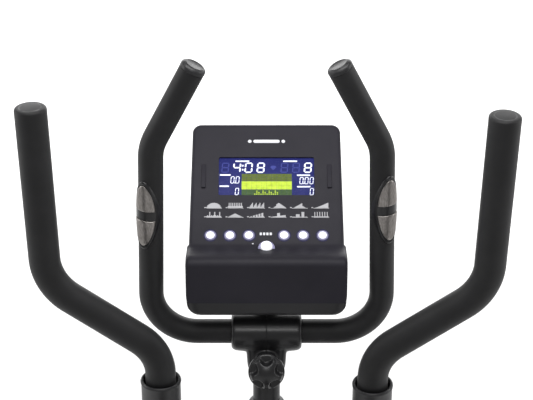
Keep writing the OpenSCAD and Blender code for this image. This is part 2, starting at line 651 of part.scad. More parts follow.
module handle_grip(side) color(foam_black) in_upper_arm(side) {
    bent_tube(bent(concat([[0, foam_start]], [for (k = [1 : 3]) handle_path[k]]), handle_bends),
        handle_foam_r, handle_r + 0.2);
}
module lower_pin(side) color(bright_steel) in_arm(side) {
    x_rod(-clevis_x - clevis_t, clevis_x + clevis_t, pin_r, [0, -arm_length]);
    for (x = [-clevis_x - clevis_t - 5, clevis_x + clevis_t]) x_rod(x, x + 5, 13, [0, -arm_length]);
}

// ---------- pedal bars and pedals ----------

bar_w = 36;
bar_h = 46;
pedal_mid = 370;
pedal_w = 145;
pedal_l = 350;
pedal_out = 24;
pedal_lift = 46;
pedal_tilt = 6;
module in_pedal(side) in_bar(side) translate([pedal_out, pedal_mid, pedal_lift])
    rotate([pedal_tilt, 0, 0]) children();
module pedal_bar(side) color(black_steel) difference() {
    union() {
        in_bar(side) {
            span([-bar_w / 2, 12, -bar_h / 2], [bar_w / 2, bar_length - 12, bar_h / 2]);
            x_rod(-clevis_x + 0.5, clevis_x - 0.5, 18, [bar_length, 0]);
            x_rod(crank_boss_x + open_gap - arm_x, 24, 20, [0, 0]);
            x_rod(24, 28, 14, [0, 0]);
        }
        intersection() {
            in_bar(side) for (y = [-100, 100])
                span([-26, pedal_mid + y - 20, bar_h / 2 - 2], [26, pedal_mid + y + 20, pedal_lift + 40]);
            in_pedal(side) span([-200, -200, -80], [200, 200, 0]);
        }
    }
    in_bar(side) {
        span([wall - bar_w / 2, 30, wall - bar_h / 2], [bar_w / 2 - wall, bar_length - 30, bar_h / 2 - wall]);
        x_rod(-40, 40, pin_r + fit, [bar_length, 0]);
    }
}
module pedal(side) color(black_plastic) in_pedal(side) {
    difference() {
        rounded_plate(pedal_w, pedal_l, 24, 34);
        translate([0, 0, 8]) rounded_plate(pedal_w - 10, pedal_l - 10, 30, 29);
    }
    for (k = [-5 : 5]) translate([0, 26 * k, 7]) rounded_plate(pedal_w - 40, 8, 3, 3.9);
}

// ---------- cranks and drive ----------

module crank_axle() color(bright_steel)
    x_rod(-crank_arm_x - crank_arm_t, crank_arm_x + crank_arm_t, axle_r, crank);
module crank_arms() color(black_steel) for (side = [LEFT, RIGHT]) on_side(side) difference() {
    union() {
        x_rod(88, crank_arm_x + crank_arm_t, 24, crank);
        x_rod(crank_arm_x, crank_boss_x, 20, crank_pin(side));
        at_yz(crank, side == LEFT ? -crank_rest : 180 - crank_rest)
            span([crank_arm_x + 0.5, -18, 0], [crank_arm_x + crank_arm_t - 0.5, 18, crank_r]);
    }
    x_rod(80, 120, axle_r, crank);
    x_rod(crank_arm_x + 4, 120, pin_r, crank_pin(side));
}
module crank_discs() color(black_plastic) for (side = [LEFT, RIGHT]) on_side(side) difference() {
    union() {
        x_rod(83, 86, 118, crank);
        x_rod(86, 88, 60, crank);
    }
    x_rod(80, 90, axle_r, crank);
}
module bearings() color(bright_steel) {
    for (x = [-38, 26]) x_tube(x, x + 12, crank_bearing_r, axle_r + fit, crank);
    for (x = [fly_x1 - 6, belt_x + belt_w - 10])
        x_tube(x, x + 10, fly_bearing_r - fit, fly_axle_r, flywheel_at);
}
// A flat-belt pulley with grooves round its rim, as a profile of [radius, x]
module grooved_rim(r) polygon(concat([[r - 8, 0], [r, 0]],
    [for (k = [0 : 3]) each [[r, 1.5 + 3 * k], [r - 1.5, 3 + 3 * k]]],
    [[r, belt_w - 0.5], [r, belt_w], [r - 8, belt_w]]));
module about_x(at, x) translate([x, at[0], at[1]]) rotate([0, 90, 0]) rotate_extrude() children();
module drive_pulley() color(black_plastic) difference() {
    union() {
        about_x(crank, belt_x) grooved_rim(pulley_r);
        x_rod(belt_x + 4, belt_x + 9, pulley_r - 7, crank);
        x_rod(belt_x, belt_x + belt_w, 28, crank);
    }
    x_rod(0, 100, axle_r, crank);
    for (k = [0 : 5]) at_yz(crank, 60 * k) x_rod(0, 100, 26, [82, 0]);
}
// Points along an arc, from one angle to another
function arc(centre, r, from, to, steps) = [for (k = [0 : steps]) let (a = from + (to - from) * k / steps)
    centre + r * [cos(a), sin(a)]];
// The outline round a large circle and a small one, and the straight runs between them
function loop_round(a, ra, b, rb) =
    let (line = atan2(b[1] - a[1], b[0] - a[0]), lap = acos((ra - rb) / norm(b - a)))
    concat(arc(a, ra, line + lap, line + 360 - lap, 60), arc(b, rb, line - lap, line + lap, 24));
module drive_belt() color(rubber_black) yz_extrude(belt_x + 0.5, belt_x + belt_w - 0.5) difference() {
    polygon(loop_round(crank, pulley_r + gap + belt_t, flywheel_at, small_pulley_r + gap + belt_t));
    polygon(loop_round(crank, pulley_r + gap, flywheel_at, small_pulley_r + gap));
}
module flywheel() color(cast_grey) difference() {
    union() {
        x_tube(fly_x1, fly_x2, flywheel_r, flywheel_r - 28, flywheel_at);
        x_rod(fly_x1 + 6, fly_x2 - 6, flywheel_r - 20, flywheel_at);
        x_rod(fly_x1 - 6, belt_x, 19, flywheel_at);
        about_x(flywheel_at, belt_x) union() {
            grooved_rim(small_pulley_r);
            square([small_pulley_r - 7, belt_w]);
        }
    }
    for (x = [fly_x1 - 8, belt_x + belt_w - 10]) x_rod(x, x + 12, fly_bearing_r, flywheel_at);
    x_rod(-60, 80, 12, flywheel_at);
}
module flywheel_axle() color(bright_steel) {
    x_rod(plate_left_x - 8, plate_right_x + plate_t + 8, fly_axle_r, flywheel_at);
    for (x = [plate_left_x - 6, plate_right_x + plate_t]) x_rod(x, x + 6, 11, flywheel_at);
}
module idler_pulley() color(black_plastic)
    x_tube(belt_x - 2, belt_x + belt_w + 2, idler_r, fly_axle_r + fit, idler_at);

// The brake's magnets sit on an arc that swings away from the flywheel's rim
arc_r = flywheel_r + 3;
arc_t = 14;
module arc_sector(r1, r2, from, to) intersection() {
    difference() {
        circle(r2, $fn = 128);
        circle(r1, $fn = 128);
    }
    polygon(concat([[0, 0]], [for (a = [from : (to - from) / 6 : to]) 2 * r2 * [cos(a), sin(a)]]));
}
module brake_bracket() color(cast_grey) difference() {
    union() {
        yz_extrude(fly_x1 - 4, fly_x2 + 4) translate(flywheel_at) arc_sector(arc_r, arc_r + arc_t, -36, 40);
        for (x = [-22, 16]) yz_extrude(x, x + 4)
            polygon(loop_round(brake_pivot, 11, flywheel_at + (arc_r + 8) * [cos(-32), sin(-32)], 9));
        yz_extrude(-22, 20) translate(flywheel_at) arc_sector(arc_r + 4, arc_r + arc_t, -36, -28);
    }
    x_rod(-40, 40, brake_pin_r + fit, brake_pivot);
}
servo_at = [21, rail_top];
module brake_servo() color(black_plastic) {
    span([-20, servo_at[0] - 22, servo_at[1]], [20, servo_at[0] + 22, servo_at[1] + 44]);
    x_rod(-24, -20, 14, servo_at + [0, 24]);
}

// Shroud halves, open at the bottom over the rail
nose_at = [10, rail_top + 68];
module shroud_outline(t) {
    polygon(loop_round(crank, 172 - t, flywheel_at, 160 - t));
    polygon(loop_round(flywheel_at, 160 - t, nose_at, 66 - t));
    foot_z = rail_top + 1 - (t > 0 ? 5 : 0);
    polygon([[-480 + t, foot_z], [nose_at[0] + 40 - t, foot_z], nose_at + [40 - t, 30],
        [-300, 300], [-515 + t, 260]]);
}
module shroud(side) color(black_plastic) on_side(side) difference() {
    intersection() {
        union() {
            yz_extrude(0.1, shroud_half_w - 10) shroud_outline(0);
            yz_extrude(shroud_half_w - 11, shroud_half_w) shroud_outline(9);
        }
        span([0, -700, rail_top + 1], [100, 300, 700]);
    }
    yz_extrude(-1, shroud_half_w - 10 - wall) shroud_outline(wall);
    yz_extrude(-1, shroud_half_w - wall) shroud_outline(9 + wall);
    x_rod(0, 100, 30, crank);
}

main_frame();
front_stabilizer();
rear_stabilizer();
stabilizer_caps();
frame_bolts();
lower_mast();
handlebar_post();
clamp_band();
clamp_covers();
mast_cover();
pivot_axle();
console_back();
console_front();
lcd_panel();
display_lens();
circuit_board();
mast_cable();
shroud(LEFT);  // shroud_left
shroud(RIGHT);  // shroud_right
bearings();
drive_belt();
flywheel_axle();
brake_servo();
crank_axle();
crank_arms();
crank_discs();
drive_pulley();
flywheel();
idler_pulley();
brake_bracket();
swing_arm(LEFT);  // swing_arm_left
swing_arm(RIGHT);  // swing_arm_right
arm_fittings(LEFT);  // arm_fittings_left
arm_fittings(RIGHT);  // arm_fittings_right
handle_tube(LEFT);  // handle_tube_left
handle_tube(RIGHT);  // handle_tube_right
handle_grip(LEFT);  // handle_grip_left
handle_grip(RIGHT);  // handle_grip_right
lower_pin(LEFT);  // lower_pin_left
lower_pin(RIGHT);  // lower_pin_right
pedal_bar(LEFT);  // pedal_bar_left
pedal_bar(RIGHT);  // pedal_bar_right
pedal(LEFT);  // pedal_left
pedal(RIGHT);  // pedal_right
transport_wheel(LEFT);  // transport_wheel_left
transport_wheel(RIGHT);  // transport_wheel_right
clamp_knob();
handlebar_tube();
foam_grips();
pulse_bases();
pulse_plates();
handlebar_plugs();
button(0);  // button_1
button(1);  // button_2
button(2);  // button_3
button(3);  // button_4
button(4);  // button_5
button(5);  // button_6
dial_stem();
dial_cap();
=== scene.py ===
import json
from math import asin, atan2, cos, degrees, hypot, pi, radians, sin, sqrt, tan

import bmesh
import bpy
from mathutils import Matrix, Vector


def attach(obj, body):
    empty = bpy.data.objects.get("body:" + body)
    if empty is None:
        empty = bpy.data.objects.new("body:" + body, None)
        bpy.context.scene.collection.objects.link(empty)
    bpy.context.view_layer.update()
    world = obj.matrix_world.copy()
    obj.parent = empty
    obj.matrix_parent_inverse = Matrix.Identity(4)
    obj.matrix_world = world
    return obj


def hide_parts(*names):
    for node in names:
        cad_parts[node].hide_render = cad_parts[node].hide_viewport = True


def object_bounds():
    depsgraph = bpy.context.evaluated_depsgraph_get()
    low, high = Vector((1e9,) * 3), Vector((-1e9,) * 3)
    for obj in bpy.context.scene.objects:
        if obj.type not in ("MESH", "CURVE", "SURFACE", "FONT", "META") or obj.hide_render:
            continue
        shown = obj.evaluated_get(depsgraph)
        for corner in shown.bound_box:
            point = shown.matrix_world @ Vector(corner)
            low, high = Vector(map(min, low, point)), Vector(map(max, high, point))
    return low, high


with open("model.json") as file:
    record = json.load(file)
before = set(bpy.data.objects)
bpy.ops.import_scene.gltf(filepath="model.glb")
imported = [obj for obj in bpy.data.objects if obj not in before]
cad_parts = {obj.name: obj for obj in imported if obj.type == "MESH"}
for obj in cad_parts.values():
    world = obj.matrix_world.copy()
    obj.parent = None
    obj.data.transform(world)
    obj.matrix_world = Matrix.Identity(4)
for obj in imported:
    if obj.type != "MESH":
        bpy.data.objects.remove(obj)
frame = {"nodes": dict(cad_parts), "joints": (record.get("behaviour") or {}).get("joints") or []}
cad_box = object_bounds()

# ---------- frames ----------
# Shapes are drawn in millimetres in a local frame. A frame is a matrix in metres in the object's own axes:
# +X is the user's right, +Y the front of the machine, +Z up.

MM = 0.001
WALL = 2.4
LEFT, RIGHT = -1, 1
SIDES = {"left": LEFT, "right": RIGHT}
IDENTITY = Matrix.Identity(4)
MIRROR = Matrix.Scale(-1, 4, (1, 0, 0))
JOINTS = {joint["name"]: joint for joint in frame["joints"]}
# Local Z becomes X
ALONG_X = Matrix.Rotation(pi / 2, 4, "Y")


def shift(x=0.0, y=0.0, z=0.0):
    return Matrix.Translation(Vector((x, y, z)) * MM)


def turn(angle, axis="X"):
    return Matrix.Rotation(radians(angle), 4, axis)


def on_side(side):
    return MIRROR if side == LEFT else IDENTITY


def joint_at(name):
    return Vector(JOINTS[name]["pos_m"])


def at(point):
    return Matrix.Translation(point)


clamp = joint_at("handlebar_tilt")
flywheel = joint_at("flywheel_spin")
pivot = joint_at("arm_swing_left")
floor_z = cad_box[0].z

HANDLEBAR_LEAN = 16
CONSOLE_RISE, CONSOLE_LEAN = 121.5, 46.5
ARM_LEAN = 15
ARM_X = 142
handlebar = at(clamp) @ turn(HANDLEBAR_LEAN)
console = at(clamp) @ shift(z=CONSOLE_RISE) @ turn(CONSOLE_LEAN)


def arm(side_name):
    """The frame of a swing arm at its pivot, with local Z up the arm."""
    reach = joint_at("pedal_bar_swing_" + side_name) - pivot
    swing = degrees(atan2(reach.y, -reach.z))
    return on_side(SIDES[side_name]) @ at(pivot) @ turn(swing) @ shift(x=ARM_X)


def upper_arm(side_name):
    return arm(side_name) @ turn(ARM_LEAN)


# ---------- outlines and paths ----------


def arc_corner(a, b, c, radius, steps):
    """The points that round the corner b between a and c."""
    before, after = (b - a).normalized(), (c - b).normalized()
    bend = before.angle(after)
    if bend < 1e-4 or radius == 0:
        return [b]
    inward = (after - before * before.dot(after)).normalized()
    start = b - before * radius * tan(bend / 2)
    centre = start + inward * radius
    angles = [bend * k / steps for k in range(steps + 1)]
    return [centre - inward * radius * cos(t) + before * radius * sin(t) for t in angles]


def bent(points, radii, steps=16):
    """A path of (x, z) points whose inner corners are arcs of the given radii."""
    path = [Vector((x, 0, z)) for x, z in points]
    out = [path[0]]
    for a, b, c, radius in zip(path, path[1:], path[2:], radii):
        out += arc_corner(a, b, c, radius, steps)
    return out + [path[-1]]


def rounded(points, radii, steps=8):
    """A closed outline of (x, y) points, with its corners rounded."""
    loop = [Vector(p) for p in points]
    if not hasattr(radii, "__len__"):
        radii = [radii] * len(loop)
    out = []
    for k, b in enumerate(loop):
        out += arc_corner(loop[k - 1], b, loop[(k + 1) % len(loop)], radii[k], steps)
    return out


def rectangle(width, height, radius, centre=(0, 0), steps=8):
    x, y, w, h = centre[0], centre[1], width / 2, height / 2
    return rounded([(x - w, y - h), (x + w, y - h), (x + w, y + h), (x - w, y + h)], radius, steps)


def circle(radius, centre=(0, 0), sides=48):
    turns = [2 * pi * k / sides for k in range(sides)]
    return [Vector((centre[0] + radius * cos(t), centre[1] + radius * sin(t))) for t in turns]


def inset(loop, depth):
    """A closed outline that runs anticlockwise, drawn inwards."""
    out = []
    for k, p in enumerate(loop):
        before = (p - loop[k - 1]).normalized()
        after = (loop[(k + 1) % len(loop)] - p).normalized()
        n1, n2 = Vector((-before.y, before.x)), Vector((-after.y, after.x))
        out.append(p + (n1 + n2) * depth / (1 + n1.dot(n2)))
    return out


def quarter(steps=4):
    """Sines and cosines from 0 to a right angle, for rounding an edge."""
    return [(sin(pi / 2 * k / steps), cos(pi / 2 * k / steps)) for k in range(steps + 1)]


# ---------- solids ----------


def soften(mesh, angle=35):
    mesh.shade_smooth()
    mesh.set_sharp_from_angle(angle=radians(angle))


class Solid:
    """Collects closed shapes in millimetres in one local frame, and makes one object of them."""

    def __init__(self):
        self.points = []
        self.faces = []

    def loft(self, loops, wrap=False, caps=True, local=IDENTITY):
        """A skin over loops that have the same number of points."""
        first, size, count = len(self.points), len(loops[0]), len(loops)
        for loop in loops:
            self.points += [local @ (Vector(p) * MM) for p in loop]
        for i in range(count if wrap else count - 1):
            a, b = first + i * size, first + (i + 1) % count * size
            for k in range(size):
                k2 = (k + 1) % size
                self.faces.append((a + k, a + k2, b + k2, b + k))
        if caps and not wrap:
            self.faces.append(tuple(first + k for k in reversed(range(size))))
            self.faces.append(tuple(first + (count - 1) * size + k for k in range(size)))
        return self

    def cap(self, loop, local=IDENTITY):
        """One flat face over a loop."""
        first = len(self.points)
        self.points += [local @ (Vector(p) * MM) for p in loop]
        self.faces.append(tuple(range(first, first + len(loop))))
        return self

    def lathe(self, profile, local=IDENTITY, wrap=False, sides=64):
        """(radius, height) points turned round local Z. A wrapped profile is a closed ring."""
        loops = [[(p.x, p.y, h) for p in circle(r, sides=sides)] for r, h in profile]
        return self.loft(loops, wrap, caps=not wrap, local=local)

    def slab(self, outline, low, high, edge=0.0, local=IDENTITY):
        """An outline pushed from low to high along local Z, with its two edges rounded."""
        steps = quarter(3) if edge else [(1, 0)]
        levels = [(edge * (1 - s), low + edge * (1 - c)) for s, c in steps]
        levels += [(d, high + low - h) for d, h in reversed(levels)]
        loops = [[(p.x, p.y, h) for p in (inset(outline, d) if d else outline)] for d, h in levels]
        return self.loft(loops, local=local)

    def tube(self, path, radius, edge=2.0, sides=40, local=IDENTITY):
        """A round bar along a path in the local XZ plane, with rounded ends."""
        first, last = (path[1] - path[0]).normalized(), (path[-1] - path[-2]).normalized()
        rings = [(path[0] + first * edge * (1 - c), first, radius - edge * (1 - s)) for s, c in quarter()]
        for before, p, after in zip(path, path[1:], path[2:]):
            rings.append((p, (after - before).normalized(), radius))
        for s, c in reversed(quarter()):
            rings.append((path[-1] - last * edge * (1 - c), last, radius - edge * (1 - s)))
        across, loops = Vector((0, 1, 0)), []
        for centre, along, r in rings:
            other = along.cross(across)
            loops.append([centre + across * p.x + other * p.y for p in circle(r, sides=sides)])
        return self.loft(loops, local=local)

    def make(self, name, place, angle=35):
        mesh = bpy.data.meshes.new(name)
        mesh.from_pydata([place @ p for p in self.points], [], self.faces)
        bm = bmesh.new()
        bm.from_mesh(mesh)
        bmesh.ops.remove_doubles(bm, verts=bm.verts, dist=1e-6)
        bmesh.ops.dissolve_degenerate(bm, edges=bm.edges, dist=1e-7)
        bmesh.ops.recalc_face_normals(bm, faces=bm.faces)
        bm.to_mesh(mesh)
        bm.free()
        soften(mesh, angle)
        obj = bpy.data.objects.new(name, mesh)
        bpy.context.scene.collection.objects.link(obj)
        return obj


def apply_modifiers(obj, angle=35):
    bpy.context.view_layer.update()
    shaped = obj.evaluated_get(bpy.context.evaluated_depsgraph_get())
    mesh = bpy.data.meshes.new_from_object(shaped)
    obj.modifiers.clear()
    obj.data = mesh
    mesh.name = obj.name
    soften(mesh, angle)
    return obj


def carve(obj, *cutters, angle=35):
    """Cuts other objects out of obj, and removes them."""
    for cutter in cutters:
        cut = obj.modifiers.new("cut", "BOOLEAN")
        cut.object, cut.operation, cut.solver = cutter, "DIFFERENCE", "EXACT"
    apply_modifiers(obj, angle)
    for cutter in cutters:
        bpy.data.objects.remove(cutter)
    return obj


def melt(obj, voxel, passes, angle=50):
    """Joins a solid's overlapping shapes into one skin with blended corners."""
    remesh = obj.modifiers.new("melt", "REMESH")
    remesh.mode, remesh.voxel_size = "VOXEL", voxel * MM
    smooth = obj.modifiers.new("smooth", "SMOOTH")
    smooth.factor, smooth.iterations = 0.5, passes
    return apply_modifiers(obj, angle)


def piece(obj, body, slot, material, *nodes):
    """Gives a piece its body and its finish, and hides the CAD nodes that it stands for."""
    obj.data.materials.clear()
    obj.data.materials.append(material)
    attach(obj, body)
    if nodes:
        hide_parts(*nodes)
    return obj


# ---------- materials ----------


class Finish:
    """One procedural material. Patterns are laid out in metres in the object's own axes."""

    def __init__(self, name, rough, metal=0.0, fixed=()):
        self.material = bpy.data.materials.new(name)
        self.material.use_nodes = True
        self.nodes = self.material.node_tree.nodes
        self.links = self.material.node_tree.links
        self.shader = self.nodes["Principled BSDF"]
        self.shader.inputs["Roughness"].default_value = rough
        self.shader.inputs["Metallic"].default_value = metal
        for socket, value in dict(fixed).items():
            self.shader.inputs[socket].default_value = value
        self.where = self.nodes.new("ShaderNodeTexCoord").outputs["Object"]

    def stretched(self, scale, origin=(0, 0, 0)):
        mapping = self.nodes.new("ShaderNodeMapping")
        mapping.inputs["Scale"].default_value = scale
        mapping.inputs["Location"].default_value = [-o * s for o, s in zip(origin, scale)]
        self.links.new(self.where, mapping.inputs["Vector"])
        return mapping.outputs["Vector"]

    def noise(self, scale, detail=3.0, where=None):
        node = self.nodes.new("ShaderNodeTexNoise")
        node.inputs["Scale"].default_value = scale
        node.inputs["Detail"].default_value = detail
        self.links.new(where or self.where, node.inputs["Vector"])
        return node.outputs["Fac"]

    def cells(self, scale):
        node = self.nodes.new("ShaderNodeTexVoronoi")
        node.inputs["Scale"].default_value = scale
        self.links.new(self.where, node.inputs["Vector"])
        return node.outputs["Distance"]

    def colour(self, pattern, low, high, start=0.3, end=0.7):
        ramp = self.nodes.new("ShaderNodeValToRGB")
        ramp.color_ramp.elements[0].position, ramp.color_ramp.elements[0].color = start, (*low, 1)
        ramp.color_ramp.elements[1].position, ramp.color_ramp.elements[1].color = end, (*high, 1)
        self.links.new(pattern, ramp.inputs["Fac"])
        self.links.new(ramp.outputs["Color"], self.shader.inputs["Base Color"])
        return ramp.outputs["Color"]

    def roughness(self, pattern, low, high):
        span = self.nodes.new("ShaderNodeMapRange")
        span.inputs["To Min"].default_value = low
        span.inputs["To Max"].default_value = high
        self.links.new(pattern, span.inputs["Value"])
        self.links.new(span.outputs["Result"], self.shader.inputs["Roughness"])

    def relief(self, *layers):
        """Bumps of (pattern, strength, height in millimetres), one on the other."""
        below = None
        for pattern, strength, height in layers:
            bump = self.nodes.new("ShaderNodeBump")
            bump.inputs["Strength"].default_value = strength
            bump.inputs["Distance"].default_value = height * MM
            self.links.new(pattern, bump.inputs["Height"])
            if below:
                self.links.new(below, bump.inputs["Normal"])
            below = bump.outputs["Normal"]
        self.links.new(below, self.shader.inputs["Normal"])
        return self.material


def grey(value, tint=0.0):
    """A grey as linear red, green and blue, with a little more blue in it."""
    return (value, value * (1 - tint / 4), value * (1 + tint))


def cast_surface(name, low, high, rough, grain, tint=0.1, height=0.05, shine=0.5):
    """Moulded or coated stuff: cloudy colour and gloss, and fine grain in relief."""
    finish = Finish(name, rough, fixed={"Specular IOR Level": shine})
    clouds = finish.noise(14)
    finish.colour(clouds, grey(low, tint), grey(high, tint))
    finish.roughness(finish.noise(60), rough - 0.05, rough + 0.08)
    return finish.relief((finish.noise(grain, 2), 0.35, height))


def foam_surface():
    sheen = {"Sheen Weight": 0.06, "Sheen Roughness": 0.5, "Specular IOR Level": 0.35}
    finish = Finish("foam_skin", 0.62, fixed=sheen)
    finish.colour(finish.noise(25), grey(0.004, 0.1), grey(0.008, 0.1))
    finish.roughness(finish.noise(90), 0.48, 0.62)
    return finish.relief((finish.cells(700), 0.25, 0.10), (finish.noise(40), 0.2, 0.3))


def brushed_surface(name, low, high, rough, stretch):
    finish = Finish(name, rough, metal=1.0)
    lines = finish.noise(700, 2, finish.stretched(stretch))
    finish.colour(lines, low, high)
    finish.roughness(lines, rough - 0.06, rough + 0.1)
    return finish.relief((lines, 0.15, 0.01))


def turned_surface(name, centre):
    """A lathe's fine rings round an axis along X."""
    finish = Finish(name, 0.42, metal=1.0)
    rings = finish.nodes.new("ShaderNodeTexWave")
    rings.wave_type, rings.rings_direction = "RINGS", "X"
    rings.inputs["Scale"].default_value = 260
    rings.inputs["Distortion"].default_value = 0.6
    finish.links.new(finish.stretched((1, 1, 1), centre), rings.inputs["Vector"])
    finish.colour(finish.noise(35), (0.16, 0.16, 0.17), (0.26, 0.26, 0.27))
    return finish.relief((rings.outputs["Fac"], 0.25, 0.02))


def lit_surface(name, low, high, glow, scale=90, rough=0.3):
    """Something lit from inside, or print given a painted glow where there is no lamp."""
    finish = Finish(name, rough, fixed={"Emission Strength": glow, "Specular IOR Level": 0.08})
    shade = finish.colour(finish.noise(scale), low, high)
    finish.links.new(shade, finish.shader.inputs["Emission Color"])
    return finish.relief((finish.noise(400), 0.05, 0.02))


MATERIALS = {
    "coat": cast_surface("powder_coat", 0.006, 0.010, 0.34, 1500, height=0.03),
    "grey_panel": cast_surface("panel_plastic", 0.020, 0.024, 0.48, 2200, tint=0.25, height=0.02, shine=0.16),
    "plastic": cast_surface("moulded_plastic", 0.008, 0.012, 0.42, 1300),
    "gloss_plastic": cast_surface("gloss_plastic", 0.006, 0.008, 0.30, 700, height=0.01),
    "shroud": cast_surface("shroud_plastic", 0.013, 0.019, 0.36, 1600),
    "foam": foam_surface(),
    "rubber": cast_surface("rubber", 0.010, 0.017, 0.68, 900, height=0.08),
    "bright": brushed_surface("brushed_steel", (0.42, 0.42, 0.43), (0.62, 0.62, 0.63), 0.28, (1, 1, 0.04)),
    "plate": brushed_surface("sensor_steel", (0.20, 0.185, 0.175), (0.33, 0.31, 0.295), 0.30, (1, 1, 0.03)),
    "iron": turned_surface("turned_iron", flywheel),
    "board": cast_surface("solder_mask", 0.02, 0.03, 0.35, 300),
    "ink": cast_surface("printed_ink", 0.42, 0.52, 0.55, 2500, tint=0.04),
    # The panel's printed white marks get a painted glow: emission stands in for light, though no lamp lies
    # behind the print.
    "white_ink_painted_glow": lit_surface("white_ink_painted_glow", (0.62, 0.63, 0.67), (0.75, 0.75, 0.78), 0.15),
    "key": lit_surface("lit_key", (0.86, 0.88, 1.0), (1, 1, 1), 0.4),
    "key_rim": lit_surface("key_rim", (0.22, 0.21, 0.34), (0.29, 0.28, 0.42), 0.1),
    "key_glow": lit_surface("key_glow", (0.014, 0.014, 0.05), (0.02, 0.02, 0.08), 0.2),
    "blue": lit_surface("display_blue", (0.014, 0.018, 0.11), (0.02, 0.024, 0.135), 0.5, 40, 0.3),
    "ghost": lit_surface("display_ghost", (0.045, 0.055, 0.24), (0.055, 0.065, 0.28), 0.5),
    "digit": lit_surface("display_digit", (0.80, 0.84, 1.0), (0.95, 0.97, 1.0), 0.8),
    "olive": lit_surface("display_olive", (0.08, 0.11, 0.02), (0.11, 0.145, 0.028), 0.6, 200),
    "lime": lit_surface("display_lime", (0.38, 0.52, 0.035), (0.50, 0.66, 0.06), 0.7, 200),
    "moss": lit_surface("display_moss", (0.045, 0.085, 0.03), (0.06, 0.11, 0.035), 0.5, 200),
}


def lens_surface():
    finish = Finish("clear_lens", 0.12, fixed={"Alpha": 0.06, "Specular IOR Level": 0.05})
    finish.colour(finish.noise(30), (0.02, 0.02, 0.04), (0.03, 0.03, 0.06))
    return finish.relief((finish.noise(15), 0.05, 0.05))


MATERIALS["lens"] = lens_surface()

# ---------- console ----------

# u runs up the panel and v out of it. The ledge's ramp rises from RAMP_TOP to the crest
PANEL_TOP, RAMP_TOP, CREST_U, BROW_U, FOOT_U = 206, 6, -38, -43.5, -78
CREST_V, SPLIT_V = 28, -20
EDGE_STEPS = [0, 0.4, 1.1, 2.2, 3.6, 5.2]
EDGE_R = 5.2
BROW_R = 9
TOP_CORNER, LOW_CORNER = 13, 20
PANEL_HALF = (107, 108)
LEDGE_HALF = 110.5


def corner_loss(radius, distance):
    """How far a rounded corner pulls in an edge, at a distance from the other edge."""
    away = max(0.0, radius - distance)
    return radius - sqrt(radius * radius - away * away)


def panel_half(u):
    """Half the console's width at a height up the panel, without its corners."""
    if u >= RAMP_TOP:
        return PANEL_HALF[1] + (PANEL_HALF[0] - PANEL_HALF[1]) * u / PANEL_TOP
    step = min(1.0, (RAMP_TOP - u) / 5)
    return PANEL_HALF[1] + (LEDGE_HALF - PANEL_HALF[1]) * step * step * (3 - 2 * step)


def console_profile():
    """Points (u, v) from the panel's top edge down to the foot of the ledge's wall."""
    top = [PANEL_TOP - d for d in EDGE_STEPS + [8, 10.5, 13]]
    flat_length = PANEL_TOP - 13 - RAMP_TOP
    flat = [RAMP_TOP + flat_length * (1 - k / 46) for k in range(1, 47)]
    shares = [k / 22 for k in range(1, 23)]
    ramp = [Vector((RAMP_TOP + (CREST_U - RAMP_TOP) * f, CREST_V * (1 - cos(pi * f)) / 2)) for f in shares]
    foot = Vector((FOOT_U, SPLIT_V))
    brow = arc_corner(Vector((CREST_U, CREST_V)), Vector((BROW_U, CREST_V)), foot, BROW_R, 8)
    wall = [brow[-1].lerp(foot, k / 12) for k in range(1, 13)]
    return [Vector((u, 0)) for u in top + flat] + ramp + brow[1:] + wall


def at_split(p):
    return Vector((p.x, p.y, SPLIT_V))


def console_shell():
    """The moulded front: a skin over a grid that follows the outline, then given its thickness."""
    rows = []
    for p in console_profile():
        half = panel_half(p.x) - corner_loss(TOP_CORNER, PANEL_TOP - p.x) - corner_loss(LOW_CORNER, p.x + 88)
        inner = half - EDGE_STEPS[-1]
        xs = [half - d for d in EDGE_STEPS[:-1]] + [inner * (1 - k / 24) for k in range(25)]
        row = []
        for x in xs + [-x for x in reversed(xs[:-1])]:
            to_side, to_top = panel_half(p.x) - abs(x), PANEL_TOP - p.x
            near = min(to_side, to_top)
            if to_side < TOP_CORNER and to_top < TOP_CORNER:
                near = TOP_CORNER - hypot(TOP_CORNER - to_side, TOP_CORNER - to_top)
            drop = corner_loss(EDGE_R, max(0.0, near))
            row.append(Vector((x, p.x, max(SPLIT_V, p.y - drop))))
        rows.append(row)
    # The sides and the top edge go straight down to the joint with the back shell
    rows = [[at_split(row[0])] + row + [at_split(row[-1])] for row in rows]
    rows.insert(0, [at_split(p) for p in rows[0]])
    solid, width = Solid(), len(rows[0])
    solid.points = [p * MM for row in rows for p in row]
    for i in range(len(rows) - 1):
        for k in range(width - 1):
            a = i * width + k
            solid.faces.append((a, a + 1, a + 1 + width, a + width))
    return solid


WINDOW = (136, 64)
WINDOW_U = 116
KEY_X = [-78, -51, -24.5, 24.5, 51, 78]
KEY_U, KEY_R = 18, 8.2
DIAL_U, DIAL_R, STUB_R = -3.2, 11.9, 8
POCKET_TOP = 5
RIB, RIB_AT = (7, 41), (89.5, 115.5)
# The back shell from its open front to its floor, and its hollow from the floor up:
# (v, lower u, upper u, corner, how much narrower than the front)
BACK_LEVELS = [
    (-20.1, -78, 206, 18, 2.4), (-20.1, -78, 206, 18, 0), (-22, -79.8, 206, 18, 0), (-29, -87, 204, 20, 0),
    (-30.5, -88, 203, 20, 0), (-35.5, -88, 196, 20, 0), (-38.5, -86.3, 190, 20, 0.6),
    (-49, -70.5, 140, 18, 3.5), (-51.2, -67, 134, 16, 5.5), (-52, -64, 130, 14, 8),
]
BACK_HOLLOW = [(-49.5, -64, 128, 12, 9), (-38, -84, 188, 16, 3), (-20.1, -76, 203.6, 16, 2.4)]


